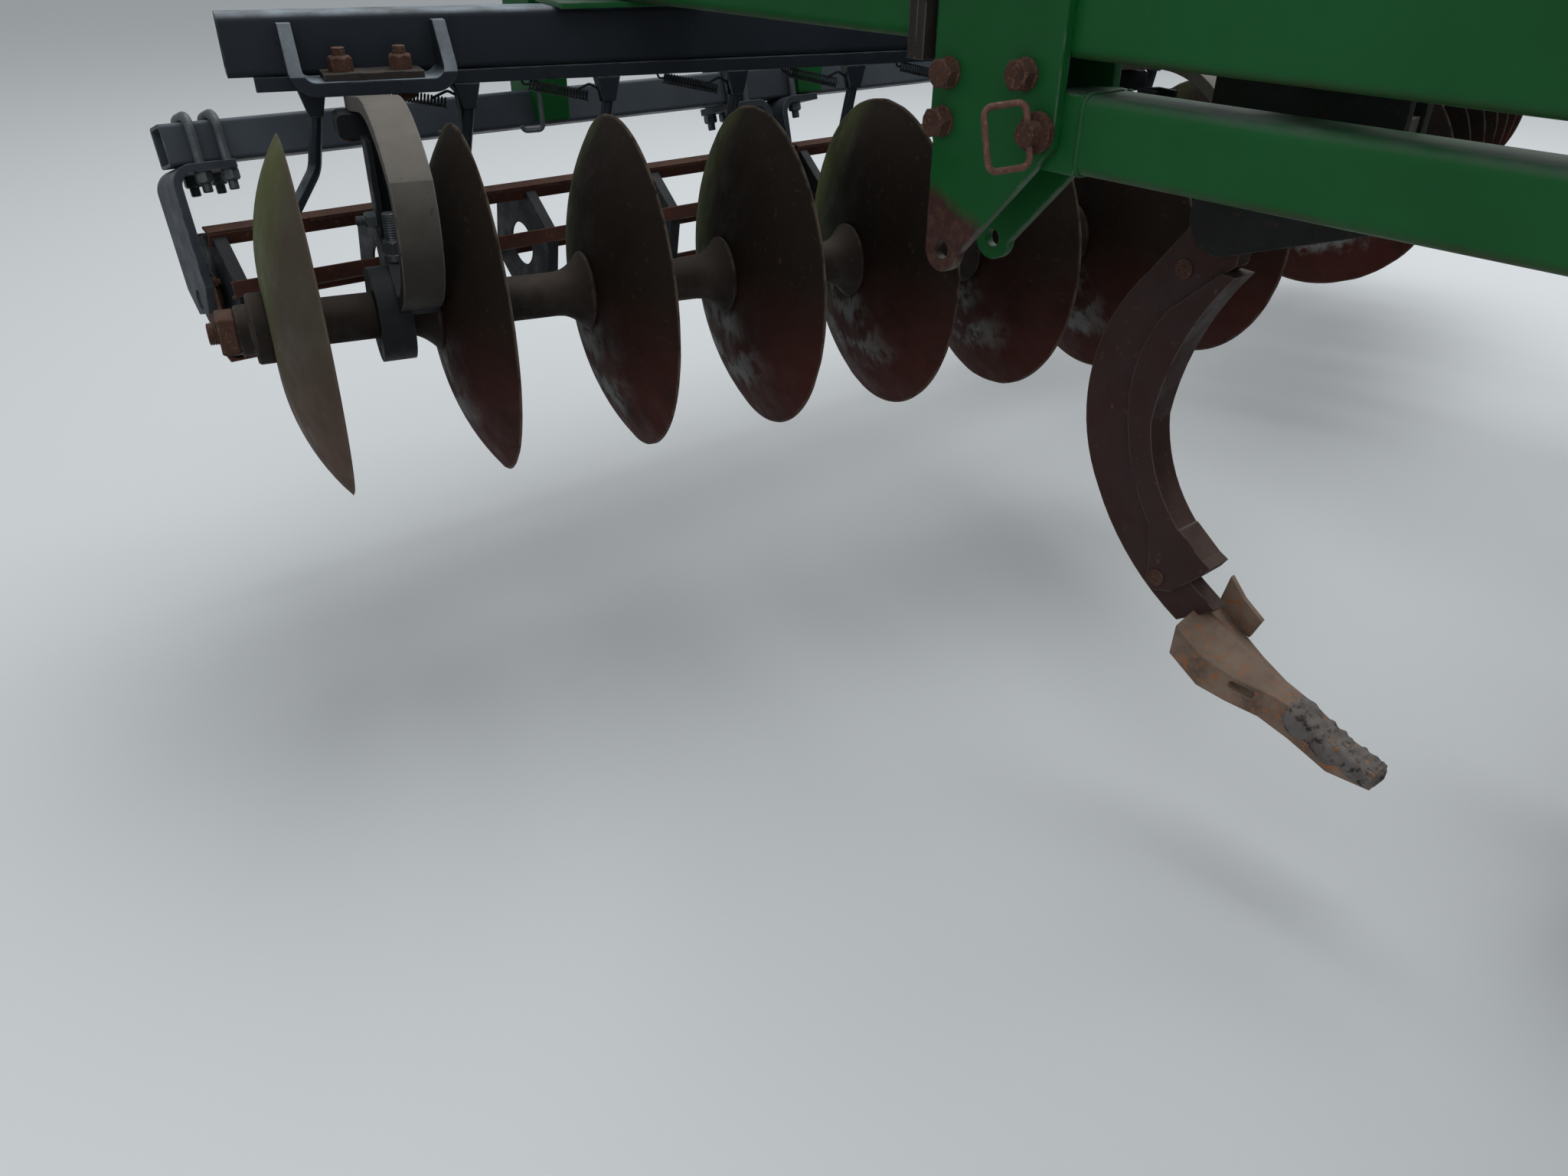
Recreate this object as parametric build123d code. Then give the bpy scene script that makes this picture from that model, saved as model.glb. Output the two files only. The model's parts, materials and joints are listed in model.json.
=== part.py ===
from build123d import *
from math import atan2, cos, degrees, hypot, radians, sin, sqrt
import os

# Disc chisel plough: mm and degrees. While the pieces are made, x runs forward from the rear gangs'
# datum, y to the left of the centre line and z up from the ground. The whole is then shifted along x
# so that the origin lies under the middle of its length.

# Stance
gang_z = 760.0                 # height of the disc gangs' axes in transport
gang_angle = 15.0              # gang axis against a line across the machine
frame_z = 1225.0               # underside of the main frame
tyre_radius = 378.5

# Main frame tubes
rail_width, rail_height, rail_wall, rail_corner = 102.0, 152.0, 9.5, 16.0
side_rail_y = 1383.0
inner_rail_y = 610.0
side_rail_rear_x = 837.0
cross_rear_x, cross_mid_x, cross_front_x, nose_x = 1351.0, 2551.0, 3650.0, 4751.0
stub_reach_y = 1960.0          # outer end of the middle cross tube's stubs

# Lower links and their brackets
link_size, link_wall, link_corner = 102.0, 8.0, 18.0
link_bottom_z = 1082.0
link_rear_x, link_front_x = 1110.0, 2470.0
anchor_rear_x, anchor_front_x, anchor_bottom_z = 2370.0, 2490.0, 1070.0
bracket_thickness = 16.0
bracket_rear_x, bracket_front_x = 854.0, 1080.0
bracket_top_z = 1377.0
bracket_tip_x, bracket_tip_z, bracket_tip_radius = 896.0, 941.0, 33.0
bracket_step_z = 1095.0
bracket_hole_radius = 13.5
link_pin_x, link_pin_z, link_pin_radius = 1057.0, 1133.0, 16.0
pin_past, collar_radius = 34.0, 27.0
handle_side, handle_reach, handle_bend, handle_wire = 82.0, 62.0, 13.0, 4.6
handle_lean, handle_swing, handle_past = -14.0, 66.0, 24.0   # its side's lean, its swing and its place

# Rear arms over the rear gangs
arm_width, arm_height, arm_wall, arm_corner = 102.0, 152.0, 9.5, 16.0
arm_rear_x = -510.0
flange_thickness, flange_width, flange_height = 16.0, 150.0, 190.0

# Disc gangs
disc_pitch, disc_radius, disc_sag, disc_thickness = 279.4, 305.0, 75.0, 7.0
disc_flat_radius, disc_hole_radius, disc_bevel = 76.0, 19.5, 26.0
spool_radius, spool_flare_radius, spool_flare_length = 40.0, 72.0, 44.0
gang_bolt_radius = 19.0
rear_disc0_x, rear_disc0_y = 94.7, -2148.4
front_disc0_x = 4400.0
rear_right_count, rear_left_count, front_count = 8, 7, 8

# Gang beam, seen in the gang's own frame: s inboard along the axis, r rearward of it, h above it
beam_size, beam_wall, beam_corner = 102.0, 8.0, 12.0
beam_front_r, beam_bottom_h = 300.0, 353.0
beam_past, beam_far_past = 48.0, 130.0   # beyond the end discs; the far end lies where the discs look
spring_s, bearing_s, strap_s = 166.0, 127.0, 190.0   # their middles past the outer disc's rim
spring_width, spring_thickness = 66.0, 24.0
strap_half_span, strap_thickness, strap_reach, strap_corner = 144.0, 23.0, 100.0, 44.0
seat_length, seat_thickness = 172.0, 12.0
block_length, block_depth, block_height, block_corner = 118.0, 66.0, 42.0, 12.0
stop_width, stop_wall, stop_low_h, stop_high_h = 62.0, 9.0, 128.0, 282.0
housing_radius, housing_width = 82.0, 56.0
housing_clearance = 0.5
scraper_bar_width, scraper_bar_height, scraper_bar_past = 24.0, 24.0, 6.0
scraper_offset_s, scraper_lean_s = 86.0, 19.0
scraper_foot_height, scraper_rod_radius = 45.0, 12.0
clamp_depth, clamp_length = 190.0, 300.0

# Rolling baskets, hung from a square tube that is turned with their hangers
basket_x, basket_z, basket_radius = -356.0, 702.0, 140.0
basket_reach_y, basket_tube_past = 2185.0, 19.0   # the tube's ends stand past the outer baskets'
basket_tube_x, basket_tube_z, basket_tube_size, basket_tube_wall = -427.0, 976.0, 76.0, 6.0
basket_tube_corner = 8.0
basket_count, basket_gap = 3, 100.0
basket_bar_count, basket_bar_first, basket_bar_width, basket_bar_wall = 6, 19.0, 30.0, 5.0
basket_plate_count, basket_plate_width, basket_plate_thickness, basket_plate_hole = 4, 26.0, 5.0, 48.0
basket_end_inset = 20.0
basket_hanger_width, basket_hanger_thickness, basket_hanger_bend = 140.0, 16.0, 34.0
basket_hanger_clear, basket_hanger_seat, basket_hanger_past = 17.0, 116.0, 28.0
basket_shaft_radius, basket_shaft_past = 20.0, 30.0
basket_arm_depth, basket_arm_width = 116.0, 80.0

# Chisel shanks: x is measured from each shank's own datum, z from the ground
shank_thickness, guard_thickness = 32.0, 52.0
holder_gap, holder_plate = 36.0, 14.0
shank_rows = (                 # datum x, y
    (1215.0, 1219.0),
    (1215.0, -1219.0),
    (1825.0, 610.0),
    (1825.0, -610.0),
    (2435.0, 1829.0),
    (2435.0, 0.0),
    (2435.0, -1829.0),
)

# Wheels and lift
tyre_width, rim_radius = 241.0, 205.0
wheel_x = 2285.0
wheel_rows = (                 # name, y, y of its arm
    ("right_outer", -914.0, -1074.0),
    ("right_inner", -305.0, -465.0),
    ("left_inner", 305.0, 465.0),
    ("left_outer", 914.0, 1074.0),
)
lift_x, lift_z, lift_radius = 2760.0, 1080.0, 63.0
lift_arm_thickness, lift_arm_depth = 40.0, 110.0
spindle_radius, spindle_past = 30.0, 75.0
crank_y, crank_length, crank_lean, crank_plate, crank_gap = 990.0, 170.0, 25.0, 18.0, 56.0
cylinder_eye_x, cylinder_eye_z = 3540.0, 1250.0
barrel_radius, rod_radius, eye_radius, eye_width = 55.0, 25.0, 42.0, 48.0

# Tongue, hitch and jack
tongue_width, tongue_height, tongue_wall, tongue_corner = 102.0, 152.0, 9.5, 14.0
tongue_root_y, tongue_tip_y = 560.0, 90.0
hitch_x, hitch_z, hitch_bore_radius = 6450.0, 480.0, 19.5
hitch_block_rear, hitch_block_front, hitch_block_rise = 260.0, 90.0, 50.0
hitch_ear_width, hitch_ear_thickness, hitch_ear_gap = 110.0, 28.0, 60.0
jack_x, jack_y, jack_outer, jack_inner, jack_wall = 5750.0, 0.0, 90.0, 76.0, 5.0
jack_foot_size, jack_foot_thickness = 230.0, 12.0
jack_beam_thickness, jack_beam_height = 24.0, 110.0

# Middle of the whole machine along x, from the rear arms' ends to the hitch's ears
middle_x = (arm_rear_x + hitch_x + hitch_ear_width / 2) / 2


def export(name, solids):
    """Writes one node's solids, shifted so that the origin lies under the middle of the length."""
    placed = [Pos(-middle_x, 0, 0) * solid for shape in solids for solid in shape.solids()]
    export_step(Compound(children=placed), f"parts/{name}.step")


def both_sides(shapes):
    """The shapes and their mirror images on the other side of the centre line."""
    return list(shapes) + [mirror(shape, Plane.XZ) for shape in shapes]


def tube(start, end, width, height, wall, corner):
    """Tube from start to end, its height in the upright plane through its length; wall 0 fills it."""
    direction = Vector(*end) - Vector(*start)
    across = Vector(0, 0, 1).cross(direction).normalized()
    plane = Plane(origin=start, x_dir=across, z_dir=direction)
    section = RectangleRounded(width, height, corner)
    if wall:
        section -= RectangleRounded(width - 2 * wall, height - 2 * wall, max(corner - wall, 2))
    return extrude(plane * section, direction.length)


def tube_x(x0, x1, y, bottom, width, height, wall, corner):
    middle = bottom + height / 2
    return tube((x0, y, middle), (x1, y, middle), width, height, wall, corner)


def tube_y(x, y0, y1, bottom, width, height, wall, corner):
    middle = bottom + height / 2
    return tube((x, y0, middle), (x, y1, middle), width, height, wall, corner)


def plate_xz(points, y_low, y_high):
    """A flat plate: an outline of (x, z) points, carried from y_low to y_high."""
    face = make_face(Polyline(*[(x, z) for x, z in points], close=True))
    plane = Plane(origin=(0, y_high, 0), x_dir=(1, 0, 0), z_dir=(0, -1, 0))
    return extrude(plane * face, y_high - y_low, dir=(0, -1, 0))


def rod_y(x, z, y_low, y_high, radius):
    return Pos(x, (y_low + y_high) / 2, z) * Rot(90, 0, 0) * Cylinder(radius, y_high - y_low)


# Main frame

def side_rails():
    rail = tube_x(side_rail_rear_x, nose_x - rail_width / 2, side_rail_y, frame_z,
                  rail_width, rail_height, rail_wall, rail_corner)
    return both_sides([rail])


def inner_rails():
    rail = tube_x(cross_rear_x + rail_width / 2, nose_x - rail_width / 2, inner_rail_y, frame_z,
                  rail_width, rail_height, rail_wall, rail_corner)
    return both_sides([rail])


def cross_tubes():
    """Cross tubes, cut between the rails that they are welded to."""
    half = rail_width / 2
    side_in, side_out = side_rail_y - half, side_rail_y + half
    inner_in, inner_out = inner_rail_y - half, inner_rail_y + half
    spans = (                  # x, y from, y to, mirrored
        (cross_rear_x, -side_in, side_in, False),
        (cross_mid_x, -inner_in, inner_in, False),
        (cross_mid_x, inner_out, side_in, True),
        (cross_mid_x, side_out, stub_reach_y, True),
        (cross_front_x, -inner_in, inner_in, False),
        (cross_front_x, inner_out, side_in, True),
        (nose_x, -side_out, side_out, False),
    )
    tubes = []
    for x, y0, y1, mirrored in spans:
        piece = tube_y(x, y0, y1, frame_z, rail_width, rail_height, rail_wall, rail_corner)
        tubes += both_sides([piece]) if mirrored else [piece]
    return tubes


def lower_links():
    """Square links under the side rails, with a rounded lug at each end."""
    middle = link_bottom_z + link_size / 2
    body = tube_x(link_rear_x, link_front_x, side_rail_y, link_bottom_z,
                  link_size, link_size, link_wall, link_corner)
    lug = Pos(link_pin_x, side_rail_y, middle) * Rot(90, 0, 0) * Cylinder(link_size / 2, link_size)
    neck_length = link_rear_x - link_pin_x
    neck = Pos(link_pin_x + neck_length / 2, side_rail_y, middle) * Box(neck_length, link_size, link_size)
    hole = rod_y(link_pin_x, middle, side_rail_y - link_size, side_rail_y + link_size, link_pin_radius + 0.5)
    return both_sides([body, lug + neck - hole])


def bracket_plate(y_low, y_high):
    """One bracket plate: upright rear edge, slanted front edge and a rounded tip with a free hole."""
    tip_right = bracket_tip_x + bracket_tip_radius
    outline = (
        (bracket_rear_x, bracket_top_z),
        (bracket_rear_x, bracket_step_z + 20),
        (bracket_rear_x + 8, bracket_step_z),
        (bracket_tip_x - bracket_tip_radius, bracket_tip_z),
        (tip_right, bracket_tip_z),
        (bracket_front_x, link_pin_z - 20),
        (bracket_front_x, bracket_top_z),
    )
    plate = plate_xz(outline, y_low, y_high)
    plate += rod_y(bracket_tip_x, bracket_tip_z, y_low, y_high, bracket_tip_radius)
    plate -= rod_y(bracket_tip_x, bracket_tip_z, y_low - 1, y_high + 1, bracket_hole_radius)
    return plate - rod_y(link_pin_x, link_pin_z, y_low - 1, y_high + 1, link_pin_radius + 0.5)


def link_brackets():
    face = side_rail_y + rail_width / 2
    inside = side_rail_y - rail_width / 2
    return both_sides([
        bracket_plate(face, face + bracket_thickness),
        bracket_plate(inside - bracket_thickness, inside),
    ])


def link_anchors():
    """Plates that hold the links' front ends under the side rails."""
    face = side_rail_y + rail_width / 2
    inside = side_rail_y - rail_width / 2
    outline = ((anchor_rear_x, frame_z + 100), (anchor_rear_x + 30, anchor_bottom_z),
               (anchor_front_x, anchor_bottom_z), (anchor_front_x, frame_z + 100))
    return both_sides([plate_xz(outline, face, face + bracket_thickness),
                       plate_xz(outline, inside - bracket_thickness, inside)])


def bracket_pins():
    """The pins that hold the lower links, each with a collar and a cross hole for its handle."""
    outer = side_rail_y + rail_width / 2 + bracket_thickness
    inner = side_rail_y - rail_width / 2 - bracket_thickness
    pin = rod_y(link_pin_x, link_pin_z, inner - 25, outer + pin_past, link_pin_radius)
    collar = rod_y(link_pin_x, link_pin_z, outer + 2, outer + 14, collar_radius)
    hole = Pos(link_pin_x, outer + handle_past, link_pin_z) * Rot(0, handle_lean, 0) * \
        Cylinder(handle_wire + 0.4, 4 * link_pin_radius)
    return both_sides([pin + collar - hole])


def ring_handle():
    """The handle of the left pin: a loop whose straight side runs through the pin, swung outward."""
    half = handle_side / 2
    path = FilletPolyline((0, half), (-handle_reach, half), (-handle_reach, -half), (0, -half),
                          radius=handle_bend, close=True)
    outer = side_rail_y + rail_width / 2 + bracket_thickness
    place = Plane(Pos(link_pin_x, outer + handle_past, link_pin_z) * Rot(0, handle_lean, 0) *
                  Rot(0, 0, -handle_swing) * Rot(90, 0, 0))
    placed = place * path
    section = Plane(origin=placed @ 0, z_dir=placed % 0) * Circle(handle_wire)
    return sweep(section, path=placed)


# Rear arms

def rear_arms():
    """Arms from the frame back over the rear gangs, which also carry the basket tube."""
    outer = tube_x(arm_rear_x, side_rail_rear_x - 2 * flange_thickness, side_rail_y, frame_z,
                   arm_width, arm_height, arm_wall, arm_corner)
    inner = tube_x(arm_rear_x, cross_rear_x - rail_width / 2, inner_rail_y, frame_z,
                   arm_width, arm_height, arm_wall, arm_corner)
    return both_sides([outer, inner])


def arm_flanges():
    """Two flanges face to face where each outer arm is bolted to its side rail."""
    first_x = side_rail_rear_x - 2 * flange_thickness
    plates = []
    for number in range(2):
        x = first_x + (number + 0.5) * flange_thickness
        plates.append(Pos(x, side_rail_y, frame_z + rail_height / 2 - 4) *
                      Box(flange_thickness, flange_width, flange_height))
    return both_sides(plates)


# Disc gangs, made in a gang's own frame: X inboard along the axis, Y rearward, Z up

def gang_place(disc0_x, disc0_y, angle):
    """Where a right-hand gang stands; a positive angle puts its outer end to the rear."""
    along = (sin(radians(angle)), cos(radians(angle)), 0)
    return Plane(origin=(disc0_x, disc0_y, gang_z), x_dir=along, z_dir=(0, 0, 1)).location


def dish(radius):
    """How far the dish has risen from its flat centre at a radius."""
    run = disc_radius - disc_flat_radius
    ball = (run ** 2 + disc_sag ** 2) / (2 * disc_sag)
    reach = radius - disc_flat_radius
    return ball - sqrt(ball ** 2 - reach ** 2)


def disc(s, way):
    """One dished disc, its rim at s and its hollow facing inboard (way 1) or outboard (way -1)."""
    back = -disc_sag
    middle = (disc_flat_radius + disc_radius) / 2
    inner_edge = disc_radius - disc_bevel
    inner_middle = (disc_flat_radius + inner_edge) / 2
    outline = Polyline((back + disc_thickness, disc_flat_radius), (back + disc_thickness, disc_hole_radius),
                       (back, disc_hole_radius), (back, disc_flat_radius))
    outline += ThreePointArc((back, disc_flat_radius), (back + dish(middle), middle), (0, disc_radius))
    outline += Line((0, disc_radius), (back + dish(inner_edge) + disc_thickness, inner_edge))
    outline += ThreePointArc(
        (back + dish(inner_edge) + disc_thickness, inner_edge),
        (back + dish(inner_middle) + disc_thickness, inner_middle),
        (back + disc_thickness, disc_flat_radius))
    body = revolve(make_face(outline), Axis.X)
    if way < 0:
        body = mirror(body, Plane.YZ)
    return Pos(s, 0, 0) * body


def spool(s0, s1):
    """A cast spool from s0 to s1, flared at both ends."""
    flare = spool_flare_length
    rise = spool_flare_radius - spool_radius
    lip = 8.0
    outline = Polyline((s0, 0), (s0, spool_flare_radius), (s0 + lip, spool_flare_radius))
    outline += ThreePointArc((s0 + lip, spool_flare_radius),
                             (s0 + lip + 0.3 * (flare - lip), spool_radius + 0.32 * rise),
                             (s0 + flare, spool_radius))
    outline += Line((s0 + flare, spool_radius), (s1 - flare, spool_radius))
    outline += ThreePointArc((s1 - flare, spool_radius),
                             (s1 - lip - 0.3 * (flare - lip), spool_radius + 0.32 * rise),
                             (s1 - lip, spool_flare_radius))
    outline += Polyline((s1 - lip, spool_flare_radius), (s1, spool_flare_radius), (s1, 0), (s0, 0))
    return revolve(make_face(outline), Axis.X)


def end_stack(s, way):
    """Stepped washers, square nut and bolt end on the last disc's face at s, standing out along way."""
    steps = ((60.0, 28.0), (42.0, 22.0))          # radius, length
    pieces = []
    for radius, length in steps:
        pieces.append(Pos(s + way * length / 2, 0, 0) * Rot(0, 90, 0) * Cylinder(radius, length))
        s += way * length
    nut_width, nut_length, bolt_past = 64.0, 30.0, 16.0
    pieces.append(Pos(s + way * nut_length / 2, 0, 0) * Box(nut_length, nut_width, nut_width))
    s += way * nut_length
    pieces.append(Pos(s + way * bolt_past / 2, 0, 0) * Rot(0, 90, 0) * Cylinder(gang_bolt_radius, bolt_past))
    return pieces


def gang_discs(count, way):
    return [disc(number * disc_pitch, way) for number in range(count)]


def gang_spools(count, way):
    """The spools, the bolt that runs through them and the end washers, as one turning piece."""
    low = -disc_sag if way > 0 else disc_sag - disc_thickness
    high = low + disc_thickness
    last = (count - 1) * disc_pitch
    pieces = [spool(high + number * disc_pitch, low + (number + 1) * disc_pitch) for number in range(count - 1)]
    pieces += end_stack(low, -1)
    pieces += end_stack(last + high, 1)
    bolt = Pos(last / 2 + (low + high) / 2, 0, 0) * Rot(0, 90, 0) * Cylinder(gang_bolt_radius, last + 40)
    whole = bolt
    for piece in pieces:
        whole += piece
    return [whole]


def hanger_places(count, way, middle):
    """Places along the axis, in the first and the last gap between discs, of what lies at middle."""
    return [gap * disc_pitch + (middle if way > 0 else disc_pitch - middle) for gap in (0, count - 2)]


def span_s(count, way, past, far_past):
    """Both ends along the axis of a bar that runs past the outer discs, and further where they look."""
    last = (count - 1) * disc_pitch
    return (-past, last + far_past) if way > 0 else (-far_past, last + past)


def gang_beam(count, way):
    low, high = span_s(count, way, beam_past, beam_far_past)
    r, h = beam_front_r + beam_size / 2, beam_bottom_h + beam_size / 2
    return tube((low, r, h), (high, r, h), beam_size, beam_size, beam_wall, beam_corner)


def profile_rh(outline, s, width):
    """A face whose points are (forward, up) in the gang's frame, carried along the axis about s."""
    plane = Plane(origin=(s - width / 2, 0, 0), x_dir=(0, -1, 0), z_dir=(-1, 0, 0))
    return extrude(plane * make_face(outline), width, dir=(1, 0, 0))


def hanger_spring(s):
    """The C-spring: flat bar from under the strap, bowed forward and back to the bearing."""
    tail, top = -240.0, beam_bottom_h - strap_thickness
    low = top - spring_thickness
    strap_front = strap_reach - beam_front_r
    outline = Polyline((tail, top), (strap_front, top), (-60, 348))
    outline += ThreePointArc((-60, 348), (90, 336), (207, 262))
    outline += ThreePointArc((207, 262), (212, 146), (92, 30))
    outline += Line((92, 30), (78, 50))
    outline += ThreePointArc((78, 50), (188, 152), (185, 250))
    outline += ThreePointArc((185, 250), (82, 312), (-60, 348 - spring_thickness))
    outline += Polyline((-60, 348 - spring_thickness), (strap_front, low), (tail, low), (tail, top))
    return profile_rh(outline, s, spring_width)


def hanger_strap(s):
    """The forged strap: two legs on the beam's front face, run down and out to a shelf in front of it."""
    shelf = beam_bottom_h - strap_thickness
    leg_top = beam_bottom_h + beam_size - 14.0
    rise = 2 * (leg_top - shelf)
    loop = RectangleRounded(2 * strap_half_span, rise, strap_corner)
    loop -= RectangleRounded(2 * (strap_half_span - strap_thickness), rise - 2 * strap_thickness,
                             strap_corner - strap_thickness)
    band = extrude(Plane(origin=(s, beam_front_r, leg_top), x_dir=(1, 0, 0), z_dir=(0, -1, 0)) * loop,
                   2 * strap_reach)
    front, back = -(beam_front_r - strap_reach), -beam_front_r
    wedge = Polyline((back, shelf - 1), (front, shelf - 1), (front, shelf + strap_thickness + 10),
                     (back + 28, leg_top), (back, leg_top), (back, shelf - 1))
    return band & profile_rh(wedge, s, 2 * strap_half_span + 2)


def hanger_seat(s):
    """The plate on the strap's shelf that the spring's bolts pass through."""
    return Pos(s, beam_front_r - strap_reach / 2, beam_bottom_h + seat_thickness / 2) * \
        Box(seat_length, strap_reach - 24, seat_thickness)


def gang_bearing(s, housing_s):
    """Bearing housing at housing_s, with the casting that bolts to the spring's lower end at s."""
    outline = Polyline((92, 30), (78, 50), (20, 88), (-60, stop_low_h), (-112, stop_low_h), (-112, 92), (-70, 20),
                       (70, 10), (92, 30))
    body = profile_rh(outline, s, spring_width)
    body -= Pos(s, 0, 0) * Rot(0, 90, 0) * Cylinder(housing_radius - 4, 2 * spring_width)
    body += Pos(housing_s, 0, 0) * Rot(0, 90, 0) * Cylinder(housing_radius, housing_width)
    body -= Pos(housing_s, 0, 0) * Rot(0, 90, 0) * Cylinder(spool_radius + housing_clearance, 2 * spring_width)
    height = stop_high_h - stop_low_h
    channel = Box(stop_width, 60, height) - Pos(0, -stop_wall, 0) * Box(stop_width - 2 * stop_wall, 60, height)
    return body + Pos(s, 60, (stop_low_h + stop_high_h) / 2) * channel


def spring_block(s):
    """The rounded block that clamps the spring's tail from below."""
    section = RectangleRounded(block_length, block_height, block_corner)
    top = beam_bottom_h - strap_thickness - spring_thickness
    start = beam_front_r - strap_reach + block_depth / 2
    return extrude(Plane(origin=(s, start, top - block_height / 2), x_dir=(1, 0, 0), z_dir=(0, -1, 0)) * section,
                   block_depth)


scraper_bar_r = beam_front_r + scraper_bar_width / 2


def scraper_bar(count, way):
    """A square bar along the beam's underside, flush with its front."""
    low, high = span_s(count, way, scraper_bar_past, beam_far_past - 4)
    return Pos((low + high) / 2, scraper_bar_r, beam_bottom_h - scraper_bar_height / 2) * \
        Box(high - low, scraper_bar_width, scraper_bar_height)


def scraper(s, way):
    """One scraper: a wedge foot under the bar, a cranked rod and a blade close to the disc's hollow."""
    top = beam_bottom_h - scraper_bar_height
    middle, low = s + way * scraper_offset_s, top - scraper_foot_height
    half = scraper_bar_width
    wedge = Polyline((middle - half, top), (middle + half, top), (middle + half / 2, low),
                     (middle - half / 2, low), (middle - half, top))
    foot = extrude(Plane(origin=(0, scraper_bar_r, 0), x_dir=(1, 0, 0), z_dir=(0, -1, 0)) * make_face(wedge),
                   scraper_bar_width / 2 + 4, both=True)
    high = (middle, scraper_bar_r, low)
    knee = (middle - way * scraper_lean_s, scraper_bar_r, 190.0)
    blade_r, blade_h = 222.0, 118.0
    face = s + way * (dish(hypot(blade_r, blade_h)) - disc_sag + disc_thickness)
    end = (face + way * 34.0, blade_r + 6, blade_h + 12)
    path = FilletPolyline(high, knee, end, radius=32)
    section = Plane(origin=high, x_dir=(1, 0, 0), z_dir=path % 0) * RegularPolygon(scraper_rod_radius, 8)
    rod = sweep(section, path=path)
    blade = Pos(*end) * Rot(0, way * 22, 0) * Box(12, 52, 40)
    return foot + rod + blade


gangs = {                      # disc count, way of the hollow, mirrored to the left, disc 0 x, angle
    "rear_right": (rear_right_count, 1, False, rear_disc0_x, gang_angle),
    "rear_left": (rear_left_count, 1, True, rear_disc0_x, gang_angle),
    "front_right": (front_count, -1, False, front_disc0_x, -gang_angle),
    "front_left": (front_count, -1, True, front_disc0_x, -gang_angle),
}


def in_gang(name, shapes):
    """Stands shapes made in a gang's frame at that gang's place on the machine."""
    count, way, mirrored, x, angle = gangs[name]
    place = gang_place(x, rear_disc0_y, angle)
    placed = [place * shape for shape in shapes]
    return [mirror(shape, Plane.XZ) for shape in placed] if mirrored else placed


def every_gang(make):
    """A fixed piece of every gang, made by make(count, way)."""
    return [shape for name, row in gangs.items() for shape in in_gang(name, make(row[0], row[1]))]


# Arms cross the gang beams on clamp plates

def beam_clamps():
    """A plate between each beam and the arm or rail that crosses it."""
    plates = []
    top = gang_z + beam_bottom_h + beam_size
    reach = beam_front_r + beam_size / 2
    for row, arm_y in ((gangs["rear_right"], side_rail_y), (gangs["rear_right"], inner_rail_y),
                       (gangs["front_right"], side_rail_y), (gangs["front_right"], inner_rail_y)):
        x0, angle = row[3], radians(row[4])
        s = (-arm_y - rear_disc0_y - reach * sin(angle)) / cos(angle)
        x = x0 + s * sin(angle) - reach * cos(angle)
        plates.append(Pos(x, -arm_y, (top + frame_z) / 2) * Rot(0, 0, -row[4]) *
                      Box(clamp_depth, clamp_length, frame_z - top))
    return both_sides(plates)


# Baskets

basket_lean = degrees(atan2(basket_x - basket_tube_x, basket_tube_z - basket_z))
basket_hang = hypot(basket_x - basket_tube_x, basket_tube_z - basket_z)


def leaned(shape):
    """Hangs a shape, made round the tube's middle, with its lower end leaning forward."""
    return Pos(basket_tube_x, 0, basket_tube_z) * Rot(0, -basket_lean, 0) * shape


def basket_tube_solid(wall):
    reach = basket_reach_y + basket_tube_past
    return leaned(tube_y(0, -reach, reach, -basket_tube_size / 2, basket_tube_size, basket_tube_size,
                         wall, basket_tube_corner))


def basket_arms():
    """Uprights from the rear arms down over the basket tube, saddled on it."""
    low = basket_tube_z - basket_tube_size / 4
    saddle = basket_tube_solid(0)
    return both_sides([
        Pos(basket_tube_x, y, (frame_z + low) / 2) * Box(basket_arm_depth, basket_arm_width, frame_z - low) - saddle
        for y in (side_rail_y, inner_rail_y)])


def basket_spans():
    """Middle and length of each basket along y."""
    length = (2 * basket_reach_y - (basket_count - 1) * basket_gap) / basket_count
    return [((number - (basket_count - 1) / 2) * (length + basket_gap), length) for number in range(basket_count)]


def basket_hangers():
    """Flat bars bent over at the top under the tube, one at each end of each basket."""
    width, thick = basket_hanger_width, basket_hanger_thickness
    top, foot = -(basket_tube_size + thick) / 2, -basket_hang - basket_hanger_past
    half, blunt = width / 2, width / 4
    outline = Polyline((-half, 0), (-half, foot + 50), (-blunt, foot), (blunt, foot), (half, foot + 50), (half, 0),
                       (-half, 0))
    pieces = []
    for middle, length in basket_spans():
        for side in (-1, 1):
            y = middle + side * (length / 2 + basket_hanger_clear + thick / 2)
            path = FilletPolyline((0, y, foot), (0, y, top), (0, y - side * basket_hanger_seat, top),
                                  radius=basket_hanger_bend)
            bar = sweep(Plane(origin=path @ 0, x_dir=(1, 0, 0), z_dir=path % 0) * Rectangle(width, thick), path=path)
            around = Plane(origin=(0, middle, 0), x_dir=(1, 0, 0), z_dir=(0, -1, 0)) * make_face(outline)
            bar &= extrude(around, length, both=True)
            bar -= rod_y(0, -basket_hang, y - thick, y + thick, basket_shaft_radius + 0.5)
            pieces.append(leaned(bar))
    return pieces


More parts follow.
